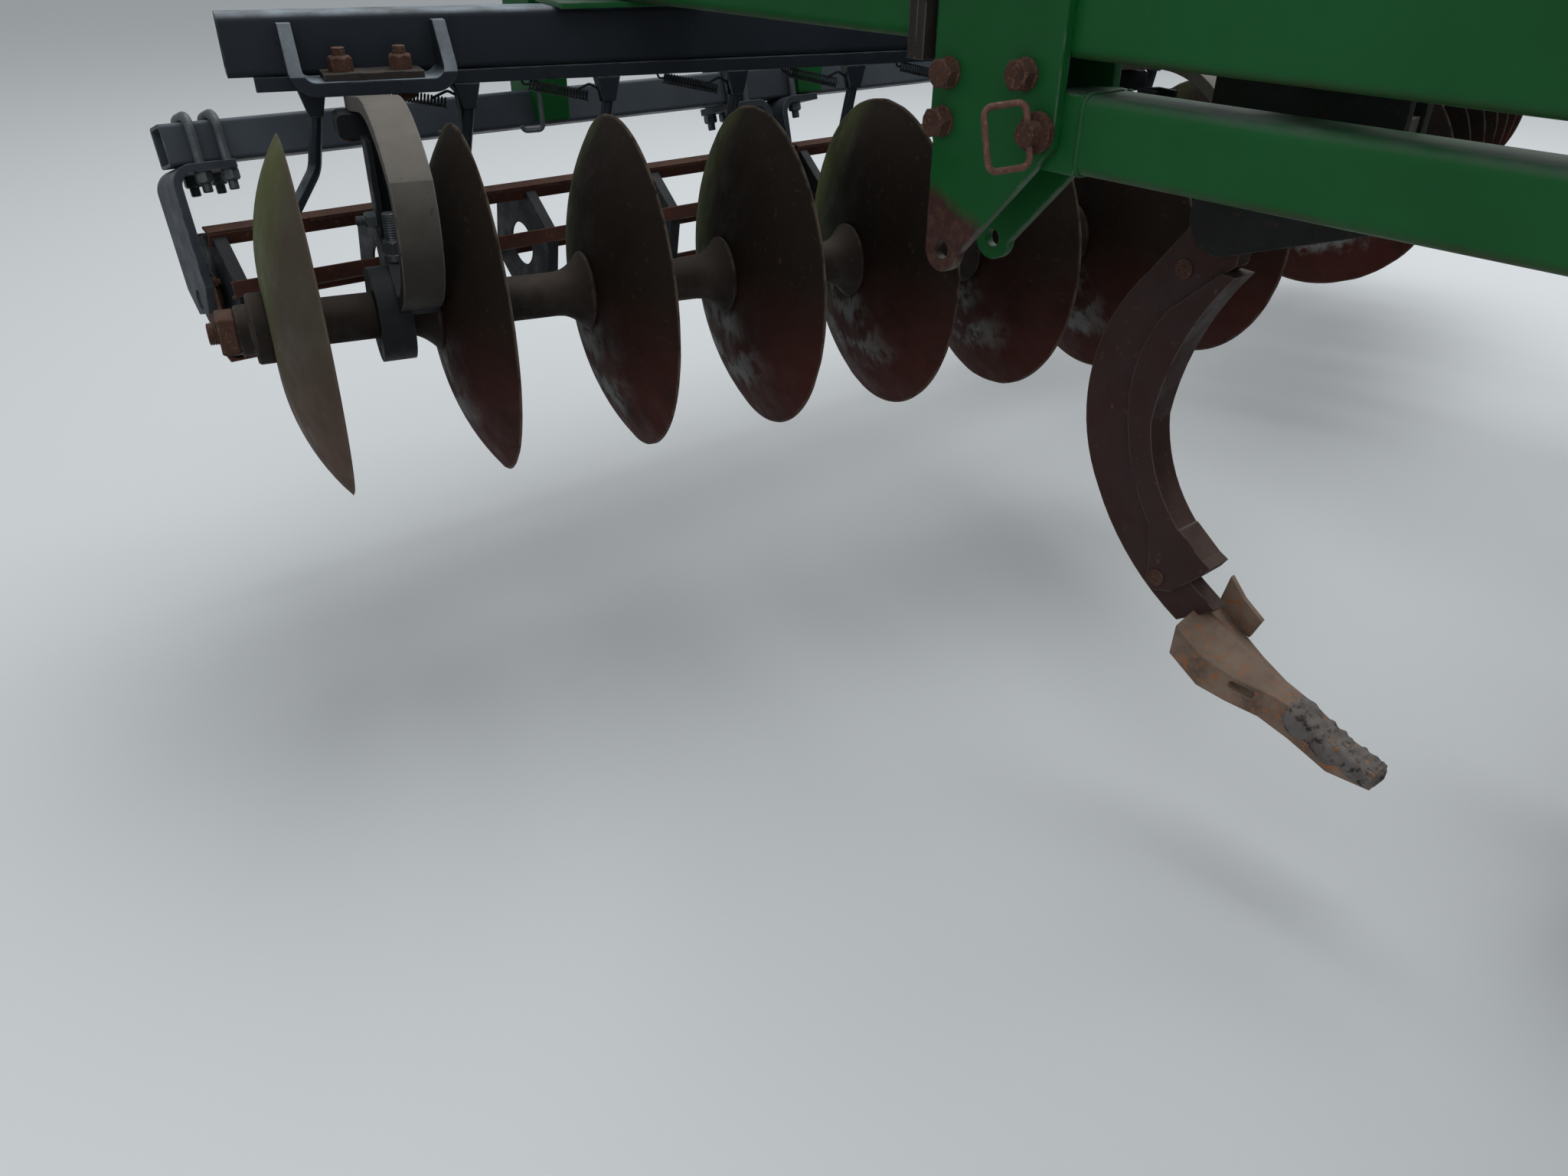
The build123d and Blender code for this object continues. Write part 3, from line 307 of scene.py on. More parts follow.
def blendColour(tree, mask, a, b):
    # a where the mask is 0, b where it is 1
    return addNode(tree, "Mix", {"data_type": "RGBA"}, {0: mask, 6: a, 7: b}).outputs[2]


def laid(tree, colour, code, *masks):
    # a colour given in hex, laid over what is there by the product of the masks
    mask = masks[0]
    for other in masks[1:]:
        mask = times(tree, mask, other)
    return blendColour(tree, mask, colour, toLinear(code))


# Where every finish cuts its noises and slopes: each pair is where a mask starts and where it is full
cuts = Choices(
    drift=(0.36, 0.66), fleckSpan=0.1, fleckDetail=6, onTop=(0.35, 1), below=(-0.2, -0.95),
    settled=(0.3, 0.62, 5), edge=(0.985, 0.87), rubbed=(0.62, 0.72), rubFalls=0.3, rubDetail=5,
    grainDetail=6, grainRough=0.6, gloss=0.22)


def wornMetal(name, look, paint=None):
    # a coat or skin with slow colour drift, flecks, dust on top (painted sky reflection on the blue-black
    # enamel), mud underneath and worn edges; paint(tree, coords, colour) lays what belongs to one piece alone
    # over the coat
    coat, drift, driftMm = look.coat
    fleck, fleckMm, fleckFrom = look.fleck
    dust, dustAndReflectionShare, dustAndReflectionMm = look.dust
    mud, mudShare = look.mud
    bare, edgeMm, rubMm, rub = look.bare
    swept, dusty = look.rough
    grainMm, grainDepthMm = look.grain
    material = bpy.data.materials.new(name)
    material.use_nodes = True
    tree = material.node_tree
    tree.nodes.clear()
    coords = addNode(tree, "TexCoord").outputs["Object"]
    normal = addNode(tree, "NewGeometry").outputs["Normal"]
    bevelled = addNode(tree, "Bevel", {"samples": 4}, {"Radius": edgeMm * mm}).outputs["Normal"]
    colour = laid(tree, toLinear(coat), drift, noiseMask(tree, coords, driftMm, *cuts.drift))
    fleckTo = fleckFrom + cuts.fleckSpan
    colour = laid(tree, colour, fleck, noiseMask(tree, coords, fleckMm, fleckFrom, fleckTo, cuts.fleckDetail))
    if paint:
        colour = paint(tree, coords, colour)
    upward = axesOf(tree, normal)["Z"]
    settled = noiseMask(tree, coords, dustAndReflectionMm, *cuts.settled)
    # dust on upward faces; on the blue-black enamel, with its share near full, this is painted sky reflection
    colour = laid(tree, colour, dust, ramp(tree, upward, *cuts.onTop, dustAndReflectionShare), settled)
    colour = laid(tree, colour, mud, ramp(tree, upward, *cuts.below, mudShare), settled)
    bend = vectorMaths(tree, "DOT_PRODUCT", bevelled, normal)["Value"]
    rubFrom, rubTo = (value - cuts.rubFalls * rub for value in cuts.rubbed)
    rubbed = noiseMask(tree, coords, rubMm, rubFrom, rubTo, cuts.rubDetail)
    colour = laid(tree, colour, bare, ramp(tree, bend, *cuts.edge), rubbed)
    rough = addNode(tree, "MapRange", inputs={"Value": settled, "To Min": swept, "To Max": dusty})
    grain = addNode(tree, "TexNoise", inputs={
        "Vector": coords, "Scale": 1000 / grainMm, "Detail": cuts.grainDetail, "Roughness": cuts.grainRough})
    bump = addNode(tree, "Bump", inputs={
        "Height": grain.outputs[0], "Distance": grainDepthMm * mm, "Strength": 1.0, "Normal": bevelled})
    shader = addNode(tree, "BsdfPrincipled", inputs={
        "Base Color": colour, "Roughness": rough.outputs["Result"], "Metallic": look.get("metallic", 0.0),
        "Normal": bump.outputs["Normal"], "Specular IOR Level": look.get("gloss", cuts.gloss)})
    addNode(tree, "OutputMaterial", inputs={"Surface": shader.outputs["BSDF"]})
    return material


# The looks. coat: colour, the one it drifts to, patches in mm. fleck: colour, mm, how rare. dust
# on top: colour, share, patches in mm; it is dust, and on the blue-black enamel painted sky reflection. mud
# below:
# colour, share. bare edges: colour, bevel in mm, patches in mm, share. rough: swept and dusty. grain: mm wide
# and deep. Soil and oxide film damp the sheen of metal and paint that stand out of doors, so gloss, the
# specular level, is low.

# Sprayed enamel over mill scale: deep green, dusted, brown underneath and rubbed grey on its edges
greenLook = Choices(
    coat=("#0d4f22", "#125828", 420), fleck=("#25402a", 26, 0.7), dust=("#565f5b", 0.85, 140),
    mud=("#3a2f24", 0.85), bare=("#59665e", 5, 60, 0.5), rough=(0.34, 0.6), grain=(9, 0.25))
scuffs = Choices(colour="#6f7d74", noise=(420, 0.71, 0.76, 3), stretch=(14, 1, 1.6))


def scuffedEnamel(tree, coords, colour):
    # rare upright grey streaks where other machines have rubbed past
    return laid(tree, colour, scuffs.colour, noiseMask(tree, coords, *scuffs.noise, scuffs.stretch))


greenEnamel = wornMetal("sprayed green enamel", greenLook, scuffedEnamel)

# The brackets' tips have lost their enamel: brown rust up to a ragged line that falls forward
tipRust = Choices(
    rust="#3a2420", edge="#4a3228", lineMm=1040, fallsBy=0.42, softMm=24, raggedBy=16,
    ragged=(34, 0.2, 0.8, 6), spots=(14, 0.45, 0.62), outerPlateY=1.40)


def rustedTip(tree, coords, colour):
    # rust on the outer plates, where z is under lineMm less fallsBy times the way from their rear edge
    place = axesOf(tree, coords)
    forward = maths(tree, "SUBTRACT", place["X"], float(boxOf("link_brackets")[0][0]) * mm)
    line = maths(tree, "SUBTRACT", tipRust.lineMm * mm, times(tree, forward, tipRust.fallsBy))
    ragged = times(tree, noiseMask(tree, coords, *tipRust.ragged), tipRust.raggedBy * mm)
    depth = maths(tree, "SUBTRACT", maths(tree, "ADD", line, ragged), place["Z"])
    outer = maths(tree, "GREATER_THAN", maths(tree, "ABSOLUTE", place["Y"]), tipRust.outerPlateY)
    mask = times(tree, ramp(tree, depth, 0.0, tipRust.softMm * mm), outer)
    rust = laid(tree, toLinear(tipRust.rust), tipRust.edge, noiseMask(tree, coords, *tipRust.spots))
    return blendColour(tree, mask, colour, rust)


bracketEnamel = wornMetal("green enamel with rusted tips", greenLook, rustedTip)
# Blue-black enamel on square tube; its pale blue-grey tops are painted sky reflection
blackEnamel = wornMetal("sprayed blue-black enamel", Choices(
    coat=("#1b2027", "#20262e", 300), fleck=("#3a342e", 18, 0.68), dust=("#7f8a92", 0.95, 110),
    mud=("#2c2824", 0.5), bare=("#565c60", 4, 45, 0.6), rough=(0.34, 0.6), grain=(8, 0.25)))
# The basket's tube has the greyer, dustier skin of one that faces the spray from the wheels
greyEnamel = wornMetal("dusty blue-grey enamel", Choices(
    coat=("#3c4249", "#454c54", 260), fleck=("#2f3338", 16, 0.66), dust=("#636b72", 0.6, 90),
    mud=("#3a3631", 0.4), bare=("#70777c", 4, 40, 0.5), rough=(0.4, 0.65), grain=(8, 0.25)))
# Hot-rolled steel left bare out of doors: brown rust over grey scale
rustedPlate = wornMetal("rusted hot-rolled plate", Choices(
    coat=("#363230", "#2c2826", 70), fleck=("#523528", 12, 0.6), dust=("#5b554f", 0.4, 50),
    mud=("#302822", 0.5), bare=("#6d6762", 3, 30, 0.7), rough=(0.5, 0.8), grain=(4, 0.35), metallic=0.3))
# Bolts and pins: orange-brown rust, pitted, rubbed paler on their edges
rustedBolt = wornMetal("rust-coated bolt steel", Choices(
    coat=("#4e362c", "#3d2a24", 24), fleck=("#694838", 6, 0.55), dust=("#6b574a", 0.4, 20),
    mud=("#2f211b", 0.4), bare=("#726055", 1.5, 12, 0.6), rough=(0.6, 0.85), grain=(2.5, 0.3), metallic=0.2))
# The pins' rings are painted paler than the bolts, as painted light where light falls on them
paleLitRing = wornMetal("rusty rod, paler as painted light", Choices(
    coat=("#6a4a40", "#593d35", 30), fleck=("#7d5c4e", 6, 0.55), dust=("#7f695d", 0.4, 20),
    mud=("#3c2a24", 0.4), bare=("#8a7468", 1.5, 12, 0.6), rough=(0.5, 0.75), grain=(2.5, 0.2)))
# Zinc-plated wire and nuts gone dull
dullZinc = wornMetal("dull zinc plating", Choices(
    coat=("#5d6366", "#4c5154", 40), fleck=("#433c36", 6, 0.62), dust=("#757a7c", 0.3, 20),
    mud=("#3b3733", 0.4), bare=("#84898c", 1.5, 15, 0.5), rough=(0.4, 0.6), grain=(3, 0.1), metallic=0.6))
# Spring steel: olive paint worn to grey by soil, with painted shade that darkens it low down
springShadeBelow = Choices(soil="#26221e", height=(1.03, 0.90), share=0.85)


def paintedShadeLowDown(tree, coords, colour):
    # painted shade that deepens from one height down to the other
    mask = ramp(tree, axesOf(tree, coords)["Z"], *springShadeBelow.height)
    return laid(tree, colour, springShadeBelow.soil, mask, springShadeBelow.share)


springSteel = wornMetal("worn spring steel with painted shade low down", Choices(
    coat=("#4e4b45", "#5c5852", 90), fleck=("#3e352b", 14, 0.62), dust=("#6d6862", 0.4, 60),
    mud=("#34302a", 0.4), bare=("#7a7771", 4, 30, 0.8), rough=(0.5, 0.75), grain=(5, 0.3)), paintedShadeLowDown)
# Sand-cast iron: rough, dark, with soil in its pores
castIron = wornMetal("sand-cast iron", Choices(
    coat=("#332b26", "#27221e", 90), fleck=("#4b3c30", 10, 0.64), dust=("#595048", 0.5, 45),
    mud=("#2b211c", 0.5), bare=("#5f5751", 4, 30, 0.6), rough=(0.55, 0.85), grain=(4, 0.6), metallic=0.25))
# The same iron under black paint: smoother to the eye, with a dull sheen
blackCasting = wornMetal("black-painted casting", Choices(
    coat=("#1b1f23", "#15181b", 80), fleck=("#2f2a25", 10, 0.66), dust=("#3d4144", 0.6, 45),
    mud=("#201d1a", 0.4), bare=("#45494b", 3, 30, 0.5), rough=(0.45, 0.7), grain=(4, 0.5), metallic=0.1))
# Flat bar in slate-grey primer, scuffed
slatePrimer = wornMetal("slate-grey primer", Choices(
    coat=("#2e3339", "#363c43", 120), fleck=("#4a413a", 14, 0.66), dust=("#585e63", 0.5, 60),
    mud=("#3b332c", 0.5), bare=("#6a6f72", 4, 30, 0.7), rough=(0.4, 0.65), grain=(6, 0.25), metallic=0.1))
# Basket bars: rolled angle, rusted red-brown all over
rustedBar = wornMetal("red-brown rusted bar", Choices(
    coat=("#4a2b23", "#36201b", 110), fleck=("#694033", 12, 0.6), dust=("#6a5348", 0.5, 50),
    mud=("#2c1d18", 0.4), bare=("#6f584b", 3, 25, 0.8), rough=(0.6, 0.9), grain=(4, 0.5), metallic=0.2))

# Blade paint, laid by the piece's own attribute: (rearward, upward) from the axis in metres, and the blade's
# number. The lengths here are in metres too, but for the patches of the noises.
bladeLook = Choices(
    red="#3d1c17", redUp=(0.06, -0.14), redNoise=(90, 0.22, 0.5, 6), moss="#4c5724", mossRear=(0.04, 0.2),
    mossUp=(-0.24, 0), mossNoise=(110, 0.3, 0.52, 7), dusty="#6a6152", dustyShare=0.32,
    openNumber=(0.3, 0.2), openRear=(-0.19, -0.05), openUp=(-0.16, 0.08), openMoss=0.62, scrape="#6a6b69",
    scrapeNoise=(44, 0.42, 0.56, 9), scrapeTurn=-62, scrapeToward=(0.15, 0.7),
    rings=((0.090, 0.128), (0.178, 0.222)), ringSoft=(0.012, 0.03), swayBy=0.035,
    swayNoise=(30, 0.3, 0.7, 8), swayStretch=(1, 0.35, 1), edge="#54493f", edgeRadius=(0.299, 0.303),
    edgeNoise=(40, 0.35, 0.55))


def bladeMarks(tree, coords, colour):
    # moss colour laid as painted shade to the rear and upward, red rust low down, and grey scrapes in
    # crescents that follow the spool
    look = bladeLook
    place = addNode(tree, "Attribute", {"attribute_name": "bladePlace"}).outputs["Vector"]
    parts = axesOf(tree, place)
    rearward, upward = parts["X"], parts["Y"]
    flat = vectorMaths(tree, "MULTIPLY", place, (1, 1, 0))["Vector"]
    radius = vectorMaths(tree, "LENGTH", flat)["Value"]
    low, patches = ramp(tree, upward, *look.redUp), noiseMask(tree, place, *look.redNoise)
    colour = laid(tree, colour, look.red, low, patches)
    rear, high = ramp(tree, rearward, *look.mossRear), ramp(tree, upward, *look.mossUp)
    colour = laid(tree, colour, look.moss, rear, high, noiseMask(tree, place, *look.mossNoise))
    # the rear right gang's outermost blade stands in the open: dusty, with moss colour laid as painted shade
    # over its rear and upper half
    first = ramp(tree, parts["Z"], *look.openNumber)
    colour = laid(tree, colour, look.dusty, first, look.dustyShare)
    rear, high = ramp(tree, rearward, *look.openRear), ramp(tree, upward, *look.openUp)
    colour = laid(tree, colour, look.moss, rear, high, first, look.openMoss)
    # a crescent: a ring whose radius sways with the noise, in the window of turns near scrapeTurn
    streak = noiseMask(tree, place, *look.swayNoise, look.swayStretch)
    sway = maths(tree, "ADD", radius, times(tree, streak, look.swayBy))
    turn = np.radians(look.scrapeTurn)
    toward = vectorMaths(tree, "DOT_PRODUCT", flat, (np.cos(turn), np.sin(turn), 0))["Value"]
    window = ramp(tree, maths(tree, "DIVIDE", toward, radius), *look.scrapeToward)
    soft, fade = look.ringSoft
    for start, end in look.rings:
        inner, outer = ramp(tree, sway, start, start + soft), ramp(tree, sway, end + fade, end)
        patches = noiseMask(tree, place, *look.scrapeNoise)
        colour = laid(tree, colour, look.scrape, inner, outer, window, patches)
    patches = noiseMask(tree, place, *look.edgeNoise)
    return laid(tree, colour, look.edge, ramp(tree, radius, *look.edgeRadius), patches)


# Disc blades: rolled boron steel, rusted brown with remnants of dark paint
discSteel = wornMetal("rusted boron-steel blade", Choices(
    coat=("#1f1711", "#19130e", 190), fleck=("#38261c", 14, 0.6), dust=("#4a463c", 0.2, 60),
    mud=("#2c1e19", 0.3), bare=("#5a5149", 3, 40, 0.7), rough=(0.55, 0.85), grain=(5, 0.25),
    gloss=0.14), bladeMarks)
# Chisel points: hard-faced cast iron, tan rust over brown
pointIron = wornMetal("tan-rusted hard iron", Choices(
    coat=("#7d6a5c", "#5c4c42", 60), fleck=("#8e5a38", 11, 0.54), dust=("#85776b", 0.4, 40),
    mud=("#4a3f38", 0.5), bare=("#7d7067", 4, 25, 0.7), rough=(0.55, 0.85), grain=(5, 0.9)))
# Shanks and guards: green paint scoured off to brown steel, which soil keeps a little smoother than rust
shankSteel = wornMetal("scoured brown shank steel", Choices(
    coat=("#2a1512", "#331b17", 120), fleck=("#4d342c", 16, 0.62), dust=("#5e524a", 0.5, 60),
    mud=("#2c201b", 0.3), bare=("#6a5f58", 3, 40, 0.8), rough=(0.45, 0.75), grain=(6, 0.3), gloss=0.3))
# Holder plates under the frame: green enamel darkened nearly to black as painted shade
shadedHolderEnamel = wornMetal("green enamel darkened as painted shade", Choices(
    coat=("#141b17", "#1c1c18", 120), fleck=("#2e241d", 16, 0.6), dust=("#434743", 0.6, 60),
    mud=("#241d18", 0.5), bare=("#3f4640", 3, 40, 0.5), rough=(0.45, 0.7), grain=(6, 0.3)))
# Hard chrome on a ground rod: bright, with little dust
chromeRod = wornMetal("hard chrome", Choices(
    coat=("#b9bcbf", "#aeb1b4", 60), fleck=("#8e8a84", 12, 0.72), dust=("#9a978f", 0.2, 50),
    mud=("#7c766c", 0.1), bare=("#c9ccce", 2, 30, 0.3), rough=(0.12, 0.25), grain=(8, 0.03), metallic=1))
# Moulded tyre rubber with dust in its grooves
tyreRubber = wornMetal("moulded tyre rubber", Choices(
    coat=("#1d1d1e", "#242322", 160), fleck=("#38342f", 10, 0.6), dust=("#5b554c", 0.5, 60),
    mud=("#4b4338", 0.5), bare=("#3a3835", 3, 30, 0.4), rough=(0.7, 0.92), grain=(3, 0.2)))
# Noses of the points: hard iron worn to lumps, grey where soil has scoured it and black in its hollows
noseSlag = wornMetal("lumpy worn hard iron", Choices(
    coat=("#6b6665", "#57504b", 40), fleck=("#2c2827", 14, 0.52), dust=("#7d766f", 0.3, 20),
    mud=("#38302b", 0.4), bare=("#6f6b69", 3, 15, 0.3), rough=(0.5, 0.8), grain=(4, 1.2), metallic=0.1))

finishOfSlot = {
    "frame_green": greenEnamel, "rim_paint": greenEnamel, "tube_black": blackEnamel, "cast_grey": castIron,
    "worn_plate": rustedPlate, "bare_steel": rustedBolt, "spring_steel": springSteel,
    "slate_steel": slatePrimer, "disc_steel": discSteel, "basket_rust": rustedBar, "point_iron": pointIron,
    "rod_chrome": chromeRod, "tyre_rubber": tyreRubber}
finishOfNode = {
    "hanger_straps": blackEnamel, "ring_handle_right": paleLitRing, "ring_handle_left": paleLitRing,
    "shank_holders": shadedHolderEnamel, "shanks": shankSteel, "shin_guards": shankSteel, "basket_tube": greyEnamel,
    "link_brackets": bracketEnamel, "gang_bearings": blackCasting, "spring_blocks": blackCasting,
    "arm_flanges": rustedPlate}
for part in frame["record"]["subparts"]:
    finish = finishOfNode.get(part["node"], finishOfSlot[part["material_slot"]])
    for materialSlot in nodes[part["node"]].material_slots:
        materialSlot.material = finish
print("materials set")


# Disc gangs. A gang's own axes are s inboard along its shaft, r rearward of it and h above it. A gang has its
# count of blades and the way that they bulge along s; what is listed once is mirrored by that way.

gangRows = {"rear_right": (8, 1), "rear_left": (7, 1), "front_right": (8, -1), "front_left": (8, -1)}
gangSizes = Choices(pitch=279.4, sag=75, thick=7, springS=166, strapS=190)
chance = np.random.default_rng(11)


def inGang(name, shape):
    # the gang's axes come from its joint; on the left side the frame is a mirror image, so faces turn round
    along = np.array(joints[name + "_gang_turn"]["axis"], float)
    left = name.endswith("left")
    rearward = np.array([along[1], -along[0], 0]) if left else np.array([-along[1], along[0], 0])
    stood = moved(shape, jointPlace(name + "_gang_turn"), np.stack([along, rearward, (0, 0, 1)]))
    return onMirroredPoints(stood[0], shape) if left else stood


def everyGang(make):
    # make(blades, way) gives shapes in a gang's own axes
    return join(inGang(name, join(make(*row))) for name, row in gangRows.items())


blade = Choices(
    radius=305, flat=76, hole=19.5, bevel=26, segments=96, hollowRows=9, backRows=14, backStarts=2,
    tip=((0.8, -1.6), (0.4, -0.3), (-0.4, 0)), chipMm=1.5, chipWaves=(3, 7, 16, 29),
    chipHeights=(0.5, 0.45, 0.35, 0.3), chipFrom=285, chipOver=20, numberStep=0.37)


def bladeShape(way):
    # a flat centre, then two arcs of a ball of radius (run^2 + sag^2) / 2 sag that meet in a bevelled rim
    run, sag, thick = blade.radius - blade.flat, gangSizes.sag, gangSizes.thick
    rim, rows, hole = blade.radius, blade.hollowRows, blade.hole
    ball = (run ** 2 + sag ** 2) / (2 * sag)
    hollow = np.linspace(blade.flat, rim - blade.bevel, rows)
    back = np.linspace(rim - blade.backStarts, blade.flat, blade.backRows)
    rise = ball - np.sqrt(ball ** 2 - (np.concatenate([hollow, back]) - blade.flat) ** 2)
    front = np.stack([rise[:rows] + thick - sag, hollow], -1)
    rear = np.stack([rise[rows:] - sag, back], -1)
    tip = np.array(blade.tip) + (0, rim)
    profile = np.concatenate([[(thick - sag, hole)], front, tip, rear, [(-sag, hole)]])
    return closedRing(lathe(profile * (way, 1), blade.segments))


for gangNumber, (name, (count, way)) in enumerate(gangRows.items()):
    one = bladeShape(way)
    angle, reach = np.arctan2(one[0][:, 2], one[0][:, 1]), np.hypot(one[0][:, 1], one[0][:, 2])
    atRim = np.clip((reach - blade.chipFrom) / blade.chipOver, 0, 1)
    blades, places = [], []
    for number in range(count):
        # stones chipped the rim: the sum of a few waves round it, where above zero, is taken off its radius
        waves = np.sin(angle[:, None] * blade.chipWaves + chance.uniform(0, 2 * np.pi, 4))
        worn = blade.chipMm * np.clip((waves * blade.chipHeights).sum(1), 0, None) * atRim
        points = one[0] * np.stack([np.ones_like(reach), 1 - worn / reach, 1 - worn / reach], -1)
        label = np.full(len(points), number + blade.numberStep * gangNumber)
        places.append(np.stack([points[:, 1] * mm, points[:, 2] * mm, label], -1))
        blades.append((points + (number * gangSizes.pitch, 0, 0), one[1], one[2]))
    addPiece("blades_" + name, inGang(name, join(blades)), discSteel, "gang_" + name, 30,
             ("bladePlace", np.concatenate(places)), "discs_" + name)

spool = Choices(
    barrel=40, flare=72, flareLength=56, lip=6, power=2.1, lipDrop=(1.8, 0.3, 0),
    rows=(0, 1.2, 4, 6, 9, 13, 18, 24, 31, 39, 48, 62, 90), segments=40)
washer = Choices(profile=((0, 59), (1.5, 60), (24, 60), (28, 57), (29, 43), (47, 42), (50, 39)), segments=36)
shaftNut = Choices(width=64, corner=7, faces=(50, 80), chamfer=3, faceShare=0.93, thread=(19, 0, 16, 4, 20))


def spoolShape(low, high):
    # barrel with trumpets at its ends: radius = barrel + rise (1 - distance / length)^power behind a lip
    away = np.array(spool.rows)
    rise = spool.flare - spool.barrel
    fall = np.clip(1 - (away - spool.lip) / spool.flareLength, 0, 1)
    radius = spool.barrel + rise * fall ** spool.power
    radius[:3] = spool.flare - np.array(spool.lipDrop)
    profile = np.concatenate([np.stack([low + away, radius], -1), np.stack([high - away, radius], -1)[::-1]])
    return closedTube(lathe(profile, spool.segments))


def endWashers(s, way):
    # two stepped cast washers, the wider one against the blade
    return closedTube(lathe(np.array(washer.profile, float) * (way, 1) + (s, 0), washer.segments))


def squareNut(low, high):
    # square with rounded corners along the first axis, a little smaller at both faces
    corner, chamfer, share = shaftNut.corner, shaftNut.chamfer, shaftNut.faceShare
    quarter = np.linspace(0, np.pi / 2, 4)
    angle = (np.arange(4)[:, None] * np.pi / 2 + quarter).ravel()
    side = np.repeat([[1, 1], [-1, 1], [-1, -1], [1, -1]], 4, axis=0) * (shaftNut.width / 2 - corner)
    outline = side + corner * np.stack([np.cos(angle), np.sin(angle)], -1)
    rows = ((low, share), (low + chamfer, 1.0), (high - chamfer, 1.0), (high, share))
    rings = [np.concatenate([np.full((16, 1), s), outline * size], -1) for s, size in rows]
    return closedTube(np.stack(rings))


for name, (count, way) in gangRows.items():
    pitch, thick = gangSizes.pitch, gangSizes.thick
    low = -gangSizes.sag if way > 0 else gangSizes.sag - thick
    high, last = low + thick, (count - 1) * pitch
    castings = [spoolShape(high + n * pitch, low + (n + 1) * pitch) for n in range(count - 1)]
    castings += [endWashers(low, -1), endWashers(last + high, 1)]
    addPiece("spool_castings_" + name, inGang(name, join(castings)), castIron, "gang_" + name,
             replaced="spools_" + name)
    ends = []
    for face, side in ((low, -1), (last + high, 1)):
        near, far = (face + side * away for away in shaftNut.faces)
        thread = placed(threadedEnd(*shaftNut.thread), (far, 0, 0), (side, 0, 0))
        ends += [squareNut(*sorted((near, far))), thread]
    addPiece("shaft_nuts_" + name, inGang(name, join(ends)), rustedBolt, "gang_" + name)
print("gangs dressed")

# Bolts of the C-spring hangers, stood on the seats and castings

hangerBolts = Choices(
    halfSpan=52, seat=(250, 365), nut=(38, 25), thread=(12, 24, 39), skew=0.3, head=(36, 15),
    headH={1: 330, -1: 264})
# the stud's place and the cross bolt's are (s, r, h) from the spring's middle and the shaft
castingStud = Choices(
    washer=(((-8, 19), (3, 19), (4, 17)), 18), nut=(31, 24, 3), thread=(11.5, 26, 72, 4, 16),
    place=(17, 0, 100), skew=0.4)
crossBolt = Choices(nut=(26, 20), thread=(9, 19, 34), place=(31, 62, 148))


def hangerMiddles(count, way, middle):
    # the hangers stand in the first and the last gap between blades
    offset = middle if way > 0 else gangSizes.pitch - middle
    return [gap * gangSizes.pitch + offset for gap in (0, count - 2)]


def seatNuts(count, way):
    # nuts over the seats, and the bolts' heads under the strap on one side and the spring's end on the other
    nut, head = bolt(hangerBolts), hexNut(*hangerBolts.head)
    r, seat = hangerBolts.seat
    for middle in hangerMiddles(count, way, gangSizes.strapS):
        for side in (-1, 1):
            s = middle + side * hangerBolts.halfSpan
            yield placed(nut, (s, r, seat), (0, 0, 1), (1, hangerBolts.skew * side, 0))
            yield placed(head, (s, r, hangerBolts.headH[side * way]), (0, 0, -1))


def castingStuds(count, way):
    # upright stud and nut on each casting, and a bolt across its riser
    stud, across = bolt(castingStud), bolt(crossBolt)
    for middle in hangerMiddles(count, way, gangSizes.springS):
        s, r, h = castingStud.place
        yield placed(stud, (middle - s * way, r, h), (0, 0, 1), (1, castingStud.skew, 0))
        s, r, h = crossBolt.place
        yield placed(across, (middle - s * way, r, h), (-way, 0, 0))


addPiece("seat_nuts", everyGang(seatNuts), rustedBolt)
addPiece("casting_studs", everyGang(castingStuds), dullZinc)

# Scraper springs along the bar, with their hooks and tails given as (s, h) from the spring's near and far end

scraperSpring = Choices(
    footS=86, r=312, near=(-40, 294), far=(-158, 320), coil=9, wire=1.9, turns=19, steps=12,
    hook=((-26, 10), (4, 22), (22, 12), (26, -12)), hookWire=2.6, hookBend=10,
    tail=((0, 0), (-10, 0), (-16, 14)), tailWire=2.2, tailBend=5)


def scraperSprings(count, way):
    # a helix about the line from near to far: line + coil (cos(turn) up + sin(turn) rearward)
    p = scraperSpring
    turn = np.linspace(0, p.turns * 2 * np.pi, p.turns * p.steps)
    # the first scraper has none, as the bar ends beside it
    for number in range(1, count) if way > 0 else range(count - 1):
        foot = number * gangSizes.pitch + way * p.footS
        near, far = (np.array((foot + way * s, p.r, h)) for s, h in (p.near, p.far))
        line = unit(far - near)
        up = np.cross(line, (0, 1, 0))
        middle = near + (far - near) * np.linspace(0, 1, len(turn))[:, None]
        helix = middle + p.coil * (np.cos(turn)[:, None] * up + np.sin(turn)[:, None] * np.array([0, 1, 0]))
        yield sweep(roundSection(p.wire, 6), helix, line)
        hook = rounded([near + (way * s, 0, h) for s, h in p.hook], p.hookBend, 4)
        yield sweep(roundSection(p.hookWire, 8), hook, (0, 1, 0))
        tail = rounded([far + (way * s, 0, h) for s, h in p.tail], p.tailBend, 3)
        yield sweep(roundSection(p.tailWire, 6), tail, (0, 1, 0))


wireHook = Choices(
    places=(346, 506), r=312, wire=4.6, bend=9,
    path=((-14, 0, 331), (0, 0, 315), (2, 0, 236), (-38, 6, 234), (-38, 6, 244)))


def wireHooks(count, way):
    # bent wire that hangs from the bar and turns outboard at its foot
    p = wireHook
    for place in p.places:
        start = place if way > 0 else (count - 1) * gangSizes.pitch - place
        path = rounded([(start + way * s, p.r + r, h) for s, r, h in p.path], p.bend, 4)
        yield sweep(roundSection(p.wire, 10), path, (0, 1, 0))


addPiece("scraper_springs", everyGang(scraperSprings), blackCasting, "frame", 60)
addPiece("wire_hooks", everyGang(wireHooks), dullZinc, smoothAngle=60)
print("hangers and scrapers dressed")

# Baskets: bars, plates and shafts round each basket's axis. bar and plate are (radius, width, thickness).

